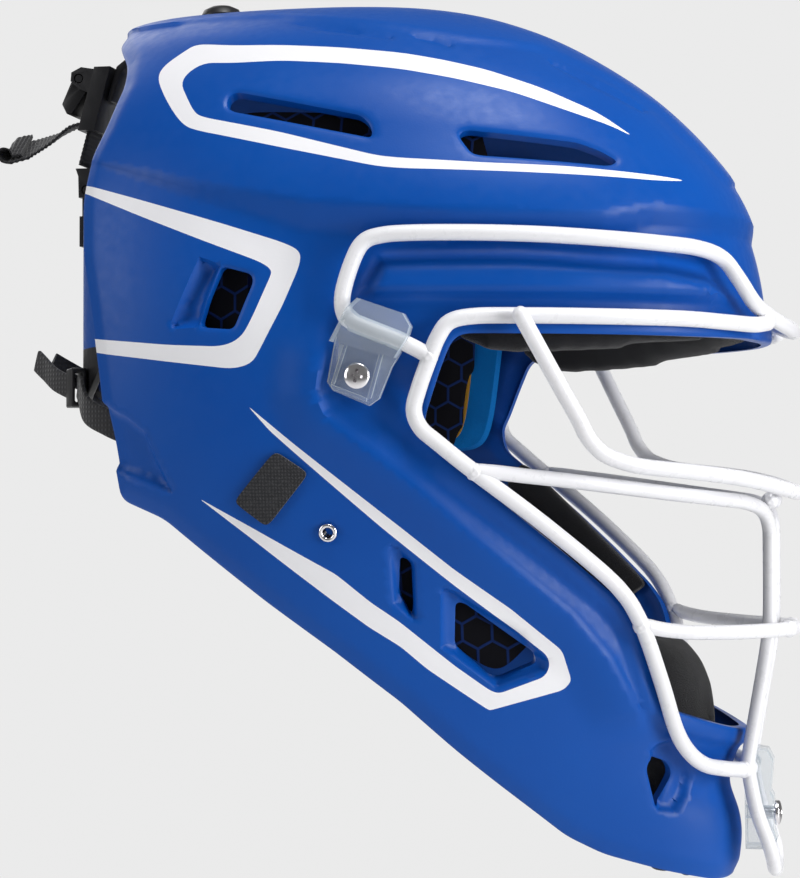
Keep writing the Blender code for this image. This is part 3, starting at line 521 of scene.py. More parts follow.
def baked(obj):
    """The object with its modifiers applied."""
    bpy.context.view_layer.update()
    mesh = bpy.data.meshes.new_from_object(obj.evaluated_get(bpy.context.evaluated_depsgraph_get()))
    obj.modifiers.clear()
    obj.data = mesh
    return obj


def unit(vectors):
    return vectors / np.maximum(np.linalg.norm(vectors, axis=-1, keepdims=True), 1e-12)


def form_normals(z, turn):
    """Outward normals of the form, from its slopes."""
    z, turn = np.clip(z, Z_LOW + 0.2, Z_HIGH - 0.4), np.clip(turn, 0.6, 179.4)
    up = form(z + 0.2, turn) - form(z - 0.2, turn)
    round_it = form(z, turn + 0.5) - form(z, turn - 0.5)
    return unit(np.cross(up, round_it))


def build_shell(paint, stripe, inner):
    flat, faces, white = shell_half()
    used, faces = np.unique(faces[:, ::-1], return_inverse=True)
    faces = faces.reshape(-1, 3)
    z, turn = roll(flat[used])
    turn = np.clip(turn, 0, 180)
    points = form(z, turn)
    middle = (turn < 1e-3) | (turn > 180 - 1e-3) | (z > Z_HIGH - 1e-4)
    normals = form_normals(z, turn)
    normals[middle, 1] = 0
    normals = unit(normals)
    points += normals * relief(points[:, 0], points[:, 2])[:, None]
    wall = points - normals * SHELL_WALL
    points[middle, 1] = 0
    wall[middle, 1] = 0
    steps = {tuple(pair) for k in range(3) for pair in faces[:, [k, (k + 1) % 3]].tolist()}
    count = len(points)
    rim = [(b, a, a + count, b + count) for a, b in sorted(steps)
           if (b, a) not in steps and not (middle[a] and middle[b])]
    mesh = bpy.data.meshes.new("shell_outer")
    mesh.from_pydata((np.concatenate([points, wall]) / 1000).tolist(), [],
                     faces.tolist() + (faces[:, ::-1] + count).tolist() + rim)
    painted = [int(is_white) for is_white in white] + [2] * len(faces) + [0] * len(rim)
    mesh.polygons.foreach_set("material_index", painted)
    obj = new_object("shell_outer", mesh, [paint, stripe, inner])
    mirror = obj.modifiers.new("Mirror", "MIRROR")
    mirror.use_axis = (False, True, False)
    mirror.merge_threshold = 0.00005
    baked(obj)
    shade(obj.data, 50)
    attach(obj, "shell")
    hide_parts("helmet_shell")
    return obj


# ---------------------------------------------------------------- materials
def principled(name, colour, roughness, **sockets):
    """A material and its Principled shader; sockets are given by name with _ for a space."""
    made = bpy.data.materials.new(name)
    made.use_nodes = True
    shader = made.node_tree.nodes["Principled BSDF"]
    shader.inputs["Base Color"].default_value = (*colour, 1)
    shader.inputs["Roughness"].default_value = roughness
    for socket, value in sockets.items():
        shader.inputs[socket.replace("_", " ")].default_value = value
    return made, shader


def add_node(made, kind, **settings):
    node = made.node_tree.nodes.new(kind)
    for name, value in settings.items():
        if name in node.inputs:
            node.inputs[name].default_value = value
        else:
            setattr(node, name, value)
    return node


def link(made, source, target):
    made.node_tree.links.new(source, target)


def noise(made, scale, detail, roughness=0.5):
    """Noise over the object's own coordinates; scale is in features per metre."""
    place = add_node(made, "ShaderNodeTexCoord")
    node = add_node(made, "ShaderNodeTexNoise", Scale=scale, Detail=detail, Roughness=roughness)
    link(made, place.outputs["Object"], node.inputs["Vector"])
    return node.outputs["Fac"]


def spread(made, value, low, high, start=0.0, end=1.0):
    """The value carried from start..end to low..high."""
    node = add_node(made, "ShaderNodeMapRange")
    for name, number in (("From Min", start), ("From Max", end), ("To Min", low), ("To Max", high)):
        node.inputs[name].default_value = number
    link(made, value, node.inputs["Value"])
    return node.outputs["Result"]


def mixed(made, share, first, second):
    """Two colours, or a colour and a socket, mixed by a share."""
    node = add_node(made, "ShaderNodeMix", data_type="RGBA")
    for index, value in ((6, first), (7, second)):
        if isinstance(value, tuple):
            node.inputs[index].default_value = (*value, 1)
        else:
            link(made, value, node.inputs[index])
    link(made, share, node.inputs[0])
    return node.outputs[2]


def bumped(made, shader, height, strength, distance):
    node = add_node(made, "ShaderNodeBump", Strength=strength, Distance=distance)
    link(made, height, node.inputs["Height"])
    link(made, node.outputs["Normal"], shader.inputs["Normal"])
    return node


def satin_paint(name, colour, deeper, roughness, shine=0.35, peel=0.12):
    """Sprayed satin finish: slight cloudiness in colour and gloss, and fine orange peel."""
    made, shader = principled(name, colour, roughness, Specular_IOR_Level=shine)
    cloud = noise(made, 22, 3)
    tone = mixed(made, spread(made, cloud, 0, 1, 0.35, 0.65), colour, deeper)
    link(made, tone, shader.inputs["Base Color"])
    link(made, spread(made, noise(made, 260, 3), roughness - 0.05, roughness + 0.06, 0.3, 0.7),
         shader.inputs["Roughness"])
    bumped(made, shader, noise(made, 1500, 2), peel, 0.0002)
    return made


SHELL_PAINT = satin_paint("shell_paint", (0.001, 0.070, 0.355), (0.001, 0.065, 0.34), 0.38, 0.2)
STRIPE_PAINT = satin_paint("stripe_paint", (0.85, 0.85, 0.88), (0.82, 0.82, 0.85), 0.38)
SHELL_INSIDE = satin_paint("shell_inside", (0.001, 0.05, 0.26), (0.001, 0.04, 0.22), 0.6, 0.2)
CAGE_COAT = satin_paint("cage_powder_coat", (0.80, 0.80, 0.82), (0.78, 0.78, 0.81), 0.3, 0.5, 0.05)


# --------------------------------------------------------------------- cage
WIRE_R = 2.9
POST_R = 2.7
WIRE_STANDOFF = 4.0
BROW_WIRE_ON_SHELL = [
    (29.4, -10.7), (24.5, -8), (19, -5.5), (4, 0.5), (0.4, 4), (0, 11), (3.2, 22), (7, 28.8),
    (13, 31.2), (24, 32), (46, 32), (68, 31.5), (90, 30.5), (108, 29.5), (121, 28.5), (129, 25.5),
]
BROW_WIRE_FREE = [
    (134.5, -49.5, 18), (139.5, -42.5, 10), (144, -34, 6), (148.5, -22, 3.5), (151.3, -10, 2.3),
    (152, 0, 2),
]
EDGE_WIRE_ON_SHELL = [
    (130, 2.5), (115, 3), (88, 3), (60, 3), (45.5, 2.7), (37.4, 0.8), (33.3, -4.4), (30.3, -11.7),
    (26.5, -22), (24.5, -30), (26.8, -36.3), (32.6, -41.5), (43.3, -50.4), (66.2, -68.5), (86.1, -86),
    (94.5, -95.2), (99, -103.2), (102.4, -112.5), (107, -129.2), (111, -145.4), (115.2, -154),
    (120.6, -159.2),
]
EDGE_WIRE_START = [(144, -37, 3), (139.5, -44.5, 2)]
EDGE_WIRE_END = [(127, -26, -161), (131.2, -19.2, -162), (133.4, -16, -162.4)]
EYE_WIRE = [
    (62.4, -102.4, 3), (66.5, -99.8, -5), (74.2, -94.6, -20), (81, -89.8, -33), (84, -87.2, -39.5),
    (88.5, -83.6, -44.8), (94, -79.6, -47.6), (102, -74.2, -49.7), (118, -61, -51.5), (133, -44, -53.5),
    (144, -26, -56), (151, -11, -58.3), (153.5, 0, -59),
]
MOUTH_WIRE = [
    (46.6, -93.8, -51.3), (53.1, -90.6, -51.9), (60, -87.2, -52.8), (72, -80.6, -54.2),
    (88, -71, -56.3), (112, -53.5, -59.5), (128, -39.5, -61.5), (136, -29.5, -62.8),
    (141, -21, -65.5), (143.2, -15.5, -71), (143.5, -14, -79), (143.5, -14, -104),
    (142.5, -14, -116), (139, -14, -137), (135.8, -14, -156), (135.5, -14, -163),
    (138.5, -14, -178), (142.5, -14, -189), (144.2, -12.6, -195), (144.7, -9.3, -198.8),
    (144.9, -5, -200.6), (144.9, 0, -201),
]
LOWER_WIRE = [
    (102.6, -60.4, -106.9), (106.6, -57.8, -108), (112, -54, -108.9), (118, -50, -109.5),
    (131, -38.5, -110), (141, -27, -110), (147, -18.5, -110), (150.3, -11, -110), (152, -5, -110),
    (152.4, 0, -110),
]
WELD_R = 3.25
WELDS_ON_SHELL = [(30.1, -11.4), (45, -51.6), (100.3, -106.6)]
WELDS = [
    (133.9, -15.4, -162.4),
    (143.2, -37.5, 3.8), (143.6, -14, -62), (150.4, -11.5, -110), (135.6, -12.5, -162),
]
CROSSBAR = [(135.6, -13, -162), (135.6, 0, -162), (135.6, 13, -162)]


def hugging(side_view):
    """The route of a wire that lies along the shell on the wearer's right."""
    route = []
    for x, z in side_view:
        lean = side_point(x, z, 1, WIRE_STANDOFF) - side_point(x, z, 1)
        route.append(side_point(x - lean.x, z - lean.z, 1, WIRE_STANDOFF))
    return route


def mirrored(points):
    return [(p[0], -p[1], p[2]) for p in points]


def both_sides(points):
    return [*points, *reversed(mirrored(points[:-1]))]


def catmull(points, per_span):
    vectors = [Vector(p) for p in points]
    padded = [2 * vectors[0] - vectors[1], *vectors, 2 * vectors[-1] - vectors[-2]]
    result = []
    for a, b, c, d in zip(padded, padded[1:], padded[2:], padded[3:]):
        for step in range(per_span):
            t = step / per_span
            result.append(0.5 * (2 * b + (c - a) * t + (2 * a - 5 * b + 4 * c - d) * t * t
                                 + (3 * b - a - 3 * c + d) * t * t * t))
    return [*result, vectors[-1]]


def close_tube(bm, rings):
    """Faces between rings of vertices, and over both ends."""
    for low, high in zip(rings, rings[1:]):
        for i in range(len(low)):
            j = (i + 1) % len(low)
            bm.faces.new([low[i], low[j], high[j], high[i]])
    bm.faces.new(rings[0][::-1])
    bm.faces.new(rings[-1])


WIRE_SIDES = 20
WIRE_PIECES = 5


def rod(name, points, radius, finish):
    """A smooth bent rod with rounded ends, as a mesh."""
    path = catmull(points, WIRE_PIECES)
    bm = bmesh.new()
    across = None
    rings = []
    count = len(path)
    caps = [(math.cos(a), math.sin(a)) for a in (0.35, 0.75, 1.15)]
    stations = [(0, c, -s) for c, s in reversed(caps)]
    stations += [(k, 1.0, 0.0) for k in range(count)]
    stations += [(count - 1, c, s) for c, s in caps]
    for k, share, push in stations:
        ahead = (path[min(k + 1, count - 1)] - path[max(k - 1, 0)]).normalized()
        if across is None:
            across = ahead.orthogonal().normalized()
        across = (across - ahead * across.dot(ahead)).normalized()
        other = ahead.cross(across)
        centre = path[k] + ahead * push * radius
        ring = []
        for i in range(WIRE_SIDES):
            angle = 2 * math.pi * i / WIRE_SIDES
            arm = across * math.cos(angle) + other * math.sin(angle)
            ring.append(bm.verts.new((centre + arm * radius * share) / 1000))
        rings.append(ring)
    close_tube(bm, rings)
    mesh = made_mesh(name, bm)
    mesh.shade_smooth()
    return new_object(name, mesh, [finish])


def build_cage():
    brow = both_sides(hugging(BROW_WIRE_ON_SHELL) + BROW_WIRE_FREE)
    edge = [*EDGE_WIRE_START, *hugging(EDGE_WIRE_ON_SHELL), *EDGE_WIRE_END]
    wires = {
        "cage_brow_wire": (brow, WIRE_R), "cage_edge_wire_right": (edge, WIRE_R),
        "cage_edge_wire_left": (mirrored(edge), WIRE_R), "cage_eye_bar": (both_sides(EYE_WIRE), WIRE_R),
        "cage_mouth_bar": (both_sides(MOUTH_WIRE), POST_R),
        "cage_lower_bar": (both_sides(LOWER_WIRE), POST_R), "cage_chin_crossbar": (CROSSBAR, POST_R),
    }
    for node, (route, radius) in wires.items():
        piece = rod(node.replace("cage", "coated"), route, radius, CAGE_COAT)
        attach(piece, "shell")
        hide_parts(node)
    for number, place in enumerate([*hugging(WELDS_ON_SHELL), *WELDS]):
        for side, label in SIDES:
            weld_bead(f"weld_{number}_{label}", (place[0], side * place[1], place[2]))


def weld_bead(name, place):
    """The puddle of weld where two wires meet, under the same coating."""
    bm = bmesh.new()
    bmesh.ops.create_icosphere(bm, subdivisions=4, radius=WELD_R)
    for vert in bm.verts:
        lump = math.sin(2.1 * vert.co.x) * math.sin(1.7 * vert.co.y + 1) * math.sin(1.9 * vert.co.z)
        vert.co = vert.co * (1 + 0.07 * lump) + Vector(place)
    bead = mesh_object(name, bm, [CAGE_COAT], angle=180)
    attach(bead, "shell")


# ------------------------------------------------------------------- camera
SENSOR_HEIGHT = 36
# The focal length and the frame's height, both in rows of the frame.
FOCAL_ROWS, FRAME_ROWS = 2564, 878
CAMERA_TARGET = (0, 0, -38.3)
CAMERA_AZIMUTH, CAMERA_ELEVATION = 11, -1


def build_camera():
    """One metre away on the wearer's right, turned a little to the front and from just below."""
    data = bpy.data.cameras.new("camera")
    data.sensor_fit = "VERTICAL"
    data.sensor_height = SENSOR_HEIGHT
    data.lens = FOCAL_ROWS * SENSOR_HEIGHT / FRAME_ROWS
    camera = new_object("camera", data)
    azimuth, elevation = math.radians(CAMERA_AZIMUTH), math.radians(CAMERA_ELEVATION)
    away = Vector((math.sin(azimuth) * math.cos(elevation), -math.cos(azimuth) * math.cos(elevation),
                   math.sin(elevation)))
    camera.location = mm(*CAMERA_TARGET) + away
    camera.rotation_euler = (-away).to_track_quat("-Z", "Y").to_euler()
    bpy.context.scene.camera = camera


def area_light(name, place, size, watts):
    """A soft light that points at the middle of the mask."""
    data = bpy.data.lights.new(name, "AREA")
    data.shape = "RECTANGLE"
    data.size, data.size_y = size
    data.energy = watts
    lamp = new_object(name, data)
    lamp.location = place
    lamp.rotation_euler = (-Vector(place)).to_track_quat("-Z", "Y").to_euler()


def flat_sheet(name, size, finish):
    bm = bmesh.new()
    bmesh.ops.create_grid(bm, x_segments=1, y_segments=1, size=size)
    sheet = new_object(name, made_mesh(name, bm), [finish])
    return sheet


FLOOR_HEIGHT, FLOOR_HALF = -0.62, 12
BACKDROP_DISTANCE, BACKDROP_HALF = 2.3, 0.62
PAPER, PAPER_SHADE = (0.85, 0.85, 0.85), (0.83, 0.83, 0.83)
LIGHTS = {
    "key": ((0.4, -0.55, 1.85), (0.9, 0.9), 33), "front": ((1.85, -0.75, 0.1), (0.8, 1.2), 31),
    "rear": ((-1.7, -0.9, 0.4), (0.8, 1.2), 11), "far_fill": ((-1.3, 1.5, 1.2), (1.2, 1.2), 9),
}


def build_studio():
    """A pale floor, a glowing pale backdrop behind the mask, and large soft lights."""
    world = bpy.data.worlds.new("studio")
    world.use_nodes = True
    background = world.node_tree.nodes["Background"]
    background.inputs["Color"].default_value = (0.83, 0.83, 0.83, 1)
    background.inputs["Strength"].default_value = 0.2
    bpy.context.scene.world = world
    bpy.context.scene.view_settings.view_transform = "Standard"
    paper, shader = principled("floor_paper", PAPER, 0.9)
    link(paper, mixed(paper, noise(paper, 3, 2), PAPER, PAPER_SHADE), shader.inputs["Base Color"])
    floor = flat_sheet("floor", FLOOR_HALF, paper)
    floor.location = (0, 0, FLOOR_HEIGHT)
    glow, shader = principled("backdrop_glow", (0, 0, 0), 1.0, Specular_IOR_Level=0.0)
    shader.inputs["Emission Strength"].default_value = 1.0
    link(glow, mixed(glow, noise(glow, 1, 1), (0.832, 0.832, 0.832), (0.828, 0.828, 0.828)),
         shader.inputs["Emission Color"])
    backdrop = flat_sheet("backdrop", BACKDROP_HALF, glow)
    camera = bpy.context.scene.camera
    ahead = camera.rotation_euler.to_matrix() @ Vector((0, 0, -1))
    backdrop.location = camera.location + ahead * BACKDROP_DISTANCE
    backdrop.rotation_euler = camera.rotation_euler
    for name, (place, size, watts) in LIGHTS.items():
        area_light(name, place, size, watts)


# ------------------------------------------------------------------ hardware
SIDE_SCREW = (5, -18)
SCREW_HEAD = (4.7, 2.6)
CHIN_SCREW = (144.6, -180)


def mesh_object(name, bm, materials, smooth=True, angle=40):
    """A mesh object from a bmesh made in millimetres."""
    bmesh.ops.scale(bm, vec=(0.001, 0.001, 0.001), verts=bm.verts)
    bmesh.ops.recalc_face_normals(bm, faces=bm.faces)
    obj = new_object(name, made_mesh(name, bm), materials)
    if smooth:
        shade(obj.data, angle)
    return obj


def bevelled(obj, width, segments=3):
    rounding = obj.modifiers.new("Rounding", "BEVEL")
    rounding.width = width / 1000
    rounding.segments = segments
    rounding.limit_method = "ANGLE"
    rounding.angle_limit = math.radians(30)
    rounding.miter_outer = "MITER_ARC"
    return baked(obj)


def cut(obj, cutter, operation="DIFFERENCE"):
    trim = obj.modifiers.new("Cut", "BOOLEAN")
    trim.operation = operation
    trim.solver = "EXACT"
    trim.object = cutter
    baked(obj)
    bpy.data.objects.remove(cutter)
    return obj


def block(name, outline, y0, y1, materials):
    """A side-view outline extruded from y0 to y1."""
    bm = bmesh.new()
    near = [bm.verts.new((x, y0, z)) for x, z in outline]
    far = [bm.verts.new((x, y1, z)) for x, z in outline]
    bm.faces.new(near)
    bm.faces.new(far[::-1])
    for i in range(len(outline)):
        j = (i + 1) % len(outline)
        bm.faces.new([near[i], far[i], far[j], near[j]])
    return mesh_object(name, bm, materials, smooth=False)


TURNED_SIDES = 40


def turned(name, profile, seat, axis, materials):
    """A closed or capped profile of (radius, height) turned about an axis through seat."""
    axis = Vector(axis).normalized()
    across = axis.orthogonal().normalized()
    other = axis.cross(across)
    bm = bmesh.new()
    rings = []
    for radius, height in profile:
        centre = Vector(seat) + axis * height
        if radius < 1e-6:
            rings.append([bm.verts.new(centre)] * TURNED_SIDES)
            continue
        angles = [2 * math.pi * i / TURNED_SIDES for i in range(TURNED_SIDES)]
        rings.append([bm.verts.new(centre + (across * math.cos(a) + other * math.sin(a)) * radius)
                      for a in angles])
    closed = profile[0][0] > 1e-6 and profile[-1][0] > 1e-6
    for low, high in zip(rings, rings[1:] + rings[:1] if closed else rings[1:]):
        for i in range(TURNED_SIDES):
            j = (i + 1) % TURNED_SIDES
            corners = []
            for corner in (low[i], low[j], high[j], high[i]):
                if corner not in corners:
                    corners.append(corner)
            if len(corners) > 2:
                bm.faces.new(corners)
    return mesh_object(name, bm, materials, angle=35)


def stands_for(obj, body, slot_name, *nodes):
    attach(obj, body)
    if nodes:
        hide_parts(*nodes)
    return obj


def softened(node, width, materials, body, slot_name, ride=True):
    """A copy of a CAD node with its edges rounded, in that node's place."""
    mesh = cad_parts[node].data.copy()
    mesh.materials.clear()
    bm = bmesh.new()
    bm.from_mesh(mesh)
    bmesh.ops.remove_doubles(bm, verts=bm.verts, dist=0.00001)
    bmesh.ops.dissolve_limit(bm, angle_limit=math.radians(1.5), verts=bm.verts, edges=bm.edges)
    bmesh.ops.recalc_face_normals(bm, faces=bm.faces)
    bm.to_mesh(mesh)
    bm.free()
    obj = new_object(node + "_moulded", mesh, materials)
    if width:
        bevelled(obj, width)
    shade(obj.data, 40)
    if ride:
        stands_for(obj, body, slot_name, node)
    return obj


def phillips_screw(node, seat, axis):
    """Pan-head screw with a tapered cross recess; seat is the underside of its head."""
    radius, height = SCREW_HEAD
    crown = [(radius * math.sin(a), height * 0.45 + height * 0.55 * math.cos(a))
             for a in np.linspace(0, math.pi / 2, 9)]
    profile = [*crown, (radius, 0.25), (radius - 0.25, 0), (1.9, 0), (1.9, -8.5), (0, -8.5)]
    screw = turned(node.replace("screw", "phillips_screw"), profile, seat, axis, [CHROME])
    axis = Vector(axis).normalized()
    across = Matrix.Rotation(math.radians(33), 3, axis) @ axis.orthogonal().normalized()
    other = axis.cross(across)
    for arm, thin in ((across, other), (other, across)):
        bm = bmesh.new()
        for share, reach, half in ((1.2, 2.9, 0.62), (0.28, 1.3, 0.42)):
            centre = Vector(seat) + axis * height * share
            for a, b in ((-1, -1), (1, -1), (1, 1), (-1, 1)):
                bm.verts.new(centre + arm * reach * a + thin * half * b)
        bmesh.ops.convex_hull(bm, input=bm.verts)
        # The cutter carries the nearly black steel: painted shade in the recess.
        cut(screw, mesh_object("recess", bm, [RECESS_PAINTED_SHADE], smooth=False))
    shade(screw.data, 35)
    return stands_for(screw, "shell", "steel", node)


def build_side_clip(side, label):
    """The CAD's clip with rounded edges, a raised front plate and a heel rib."""
    clip = softened("side_clip_" + label, 0.9, [CLIP_POLYCARBONATE], "shell", "clip_clear", ride=False)
    outer = half_width(*SIDE_SCREW)
    span = sorted((-side * (outer + 3.4), -side * (outer + 5.2)))
    plates = {"left": [(1.9, -2.1), (3.4, -1.6), (-3.2, -21), (-4.4, -20.6)],
              "right": [(13.8, -7), (15.4, -6.6), (10, -26), (8.6, -25.8)],
              "toe": [(-4.4, -20.6), (-3.9, -22.7), (8.3, -27.2), (8.6, -25.8), (-3.2, -21.3)]}
    for which, outline in plates.items():
        rib = bevelled(block("rib_" + which, outline, *span, [CLIP_POLYCARBONATE]), 0.35, 2)
        cut(clip, rib, "UNION")
    shade(clip.data, 40)
    stands_for(clip, "shell", "clip_clear", "side_clip_" + label)
    x, z = SIDE_SCREW
    phillips_screw("side_clip_screw_" + label, (x, -side * (outer + 4.35), z), (0, -side, 0))


def build_eyelet(side, label):
    """Rolled steel eyelet in the hole through the wall."""
    lip = [(3.4 - 0.8 + 0.8 * math.cos(a), 0.5 + 0.8 * math.sin(a)) for a in np.linspace(-1.2, 2.6, 12)]
    profile = [(2.4, -5), *lip, (1.9, 0.4), (1.85, -5)]
    ring = turned("rolled_eyelet_" + label, profile, side_point(*EYELET, side, 0.3),
                  side_normal(*EYELET, side), [CHROME])
    stands_for(ring, "shell", "steel", "eyelet_" + label)


# ---------------------------------------------------------------------- pads
def side_patch(corners, side=1):
    """A four-cornered patch of the form's side, as a function of two shares from 0 to 1."""
    (x0, z0), (x1, z1), (x2, z2), (x3, z3) = corners

    def surface(u, v):
        x = (1 - u) * ((1 - v) * x0 + v * x1) + u * ((1 - v) * x3 + v * x2)
        z = (1 - u) * ((1 - v) * z0 + v * z1) + u * ((1 - v) * z3 + v * z2)
        return np.stack([x, -side * half_width(x, z), z], axis=-1)

    return surface


def band(u_span, v_span, point):
    """A patch of a form between two values of u and two of v, as a function of two shares."""
    return lambda u, v: point(lerp(*u_span, u), lerp(*v_span, v))


def outward(surface, u, v):
    step = 0.01
    along_u = surface(u + step, v) - surface(u - step, v)
    along_v = surface(u, v + step) - surface(u, v - step)
    normal = unit(np.cross(along_u, along_v))
    away = (normal * surface(u, v) * (1, 1, 0.4)).sum(axis=-1, keepdims=True)
    return normal * np.where(away < 0, -1, 1)


def slab(name, surface, inset, thickness, materials, rows=22, columns=22, corner=0.3, crown=0.35,
         trim=0.0, edge=0.5):
    """A pad on the inside of a surface: rounded corners, rolled edges and a crowned inner face.

    trim shrinks it within its patch, edge is how thick its rim is as a share of its thickness.
    """
    a, b = np.meshgrid(np.sin(np.pi / 2 * np.linspace(-1, 1, rows + 1)),
                       np.sin(np.pi / 2 * np.linspace(-1, 1, columns + 1)), indexing="ij")
    # The square of shares is drawn in to one with rounded corners.
    reach = np.maximum(np.maximum(abs(a), abs(b)), 1e-9)
    angle = np.arctan2(b, a)
    cosine, sine = abs(np.cos(angle)), abs(np.sin(angle))
    soft = (cosine ** (2 / corner) + sine ** (2 / corner)) ** (-corner / 2) * np.maximum(cosine, sine)
    shrink = lerp(1, soft, reach**2)
    u, v = 0.5 + a * shrink * (0.5 - trim), 0.5 + b * shrink * (0.5 - trim)
    swell = edge + (1 - edge) * np.sqrt(np.clip(1 - reach**6, 0, 1))
    depth = inset + thickness * swell * (1 - crown * (a * a + b * b) / 2)
    normal = outward(surface, u, v)
    place = surface(u, v)
    bm = bmesh.new()
    outer, inner = ([[bm.verts.new(p) for p in line] for line in place - lift * normal]
                    for lift in (inset, depth[..., None]))
    for r in range(rows):
        for c in range(columns):
            bm.faces.new([outer[r][c], outer[r][c + 1], outer[r + 1][c + 1], outer[r + 1][c]])
            bm.faces.new([inner[r][c], inner[r + 1][c], inner[r + 1][c + 1], inner[r][c + 1]])
    border = [(0, c) for c in range(columns)] + [(r, columns) for r in range(rows)]
    border += [(rows, c) for c in range(columns, 0, -1)] + [(r, 0) for r in range(rows, 0, -1)]
    for (r0, c0), (r1, c1) in zip(border, border[1:] + border[:1]):
        bm.faces.new([outer[r0][c0], inner[r0][c0], inner[r1][c1], outer[r1][c1]])
    return mesh_object(name, bm, materials, angle=60)


CLOTH_FRAMES = 20
CLOTH_VOXEL = 0.004
CLOTH_PRESSURE = 4


def blown_up(obj, cap=1.3):
    """The pad's cloth cover drawn tight over its foam: a short pressure simulation, capped."""
    remesh = obj.modifiers.new("Remesh", "REMESH")
    remesh.mode = "VOXEL"
    remesh.voxel_size = CLOTH_VOXEL
    baked(obj)
    start = [v.co.copy() for v in obj.data.vertices]
    cloth = obj.modifiers.new("Cloth", "CLOTH")
    cloth.settings.use_pressure = True
    cloth.settings.uniform_pressure_force = CLOTH_PRESSURE
    cloth.settings.effector_weights.gravity = 0
    cloth.point_cache.frame_start = 1
    cloth.point_cache.frame_end = CLOTH_FRAMES
    for number in range(1, CLOTH_FRAMES + 1):
        bpy.context.scene.frame_set(number)
    baked(obj)
    bpy.context.scene.frame_set(1)
    for vertex, before in zip(obj.data.vertices, start):
        moved = vertex.co - before
        if moved.length > cap / 1000:
            vertex.co = before + moved.normalized() * cap / 1000
    finer = obj.modifiers.new("Finer", "SUBSURF")
    finer.levels = finer.render_levels = 1
    baked(obj)
    obj.data.shade_smooth()
    return obj


def mirrored_copy(obj, name):
    mesh = obj.data.copy()
    mesh.transform(Matrix.Scale(-1, 4, (0, 1, 0)))
    mesh.flip_normals()
    return new_object(name, mesh)


def pad(obj, node, body="shell"):
    stands_for(obj, body, "pad_black", node)


TEMPLE_PAD = [(33, 44), (23, -44), (-30, -44), (-30, 44)]
TEMPLE_COVER = [(23, 44), (14, -44), (-30, -44), (-30, 44)]
EAR_PAD = [(-37, 50), (-37, -30), (-90, -30), (-93, 50)]
UPPER_SIDE_PAD = [(52, 58), (-50, 58), (-50, 84), (46, 78)]
JAW_PAD = [(30, -60), (78, -100), (50, -128), (0, -88)]
FOREHEAD_EDGE = [(0, 0), (13, -1), (30, -4.5), (40, -7), (50, -9.5), (58, -11), (66, -11.5), (74, -6)]
JAW_LINER = [(37, -47), (93, -97), (83, -104), (29, -58)]
HOOK_PATCH = [(-26, -44), (-14, -52), (-30, -71), (-42, -62)]
CHIN_CUP = [(-207, 119, 22), (-180, 121, 26), (-160, 122, 31), (-146, 122.5, 33), (-136, 121.5, 33),
            (-126, 119, 32), (-118, 114, 30), (-110, 105, 27)]
CHIN_CUP_BACK = 72


def form_all_round(z, turn):
    """The outer form with turns to the wearer's left counted as negative."""
    point = form(z, abs(turn))
    point[..., 1] *= np.sign(turn) + (turn == 0)
    return point


CROWN_TOP = 128.4
HALVINGS = 24


def crown_point(x, y):
    """Top of the outer form above (x, y), found by halving the height it lies in."""
    low, high = 0 * x, 0 * x + CROWN_TOP
    for _ in range(HALVINGS):
        middle = (low + high) / 2
        front, back = section(middle)[:2]
        covered = (back < x) & (x < front) & (half_width(x, middle) > abs(y))
        low, high = np.where(covered, middle, low), np.where(covered, high, middle)
    return np.stack([x, y, low], axis=-1)


def build_pads():
    for name, corners, inset, thick in [
            ("temple_pad", TEMPLE_PAD, 7.8, 14), ("ear_pad", EAR_PAD, 6.6, 12),
            ("upper_side_pad", UPPER_SIDE_PAD, 6.6, 9), ("jaw_pad", JAW_PAD, 6.6, 12)]:
        surface = side_patch(corners)
        front = TEMPLE_COVER if name == "temple_pad" else corners
        right = slab(name + "_cover_right", side_patch(front), inset + thick * 0.5, thick * 0.42,
                     [HEX_FABRIC])
        blown_up(right)
        core = AZURE_FOAM if name == "temple_pad" else HEX_FABRIC
        foam = slab(name + "_foam_right", surface, inset, thick * 0.5, [core], edge=1.0, crown=0.0,
                    trim=0.012)
        line = slab(name + "_edge_line_right", side_patch(front), inset + thick * 0.5 - 0.2, 0.9,
                    [ORANGE_FILM], edge=1.0, crown=0.0, trim=0.042)
        for piece in (right, foam, line):
            left = mirrored_copy(piece, piece.name.replace("right", "left"))
            pad(piece, name + "_right")
            pad(left, name + "_left")

    def brow(u, v):
        """Inside of the brow; its lower edge sags at the temples and rises at the middle."""
        turn = lerp(-74, 74, v)
        lower = np.interp(abs(turn), *zip(*FOREHEAD_EDGE))
        return form_all_round(lerp(lower, 39, u), turn)

    forehead = slab("forehead_pad_knit", brow, 6.4, 12, [KNIT], rows=20, columns=60, corner=0.12)
    pad(blown_up(forehead), "forehead_pad")
    for side, label in SIDES:
        liner = slab("jaw_liner_" + label, side_patch(JAW_LINER, side), 4.2, 4.5, [KNIT], rows=14,
                     columns=40, corner=0.25)
        stands_for(liner, "shell", "pad_black")
    for name, x_span, y_half in (("crown_pad_front", (18, 62), 38), ("crown_pad_rear", (-70, 2), 42)):
        cover = slab(name + "_cover", band(x_span, (-y_half, y_half), crown_point), 7, 9.5, [HEX_FABRIC])
        pad(blown_up(cover), name)

    heights = [row[0] for row in CHIN_CUP]

    def cup(z, turn):
        front = np.interp(z, heights, [row[1] for row in CHIN_CUP])
        half = np.interp(z, heights, [row[2] for row in CHIN_CUP])
        c, s = np.cos(np.radians(turn)), np.sin(np.radians(turn))
        return np.stack([CHIN_CUP_BACK + (front - CHIN_CUP_BACK) * c, -half * s, z], axis=-1)

    chin = slab("chin_pad_velour", band((-205, -111), (-70, 70), cup), 0.3, 12, [VELOUR], rows=26,
                columns=32, corner=0.45)
    pad(blown_up(chin, cap=0.5), "chin_pad")


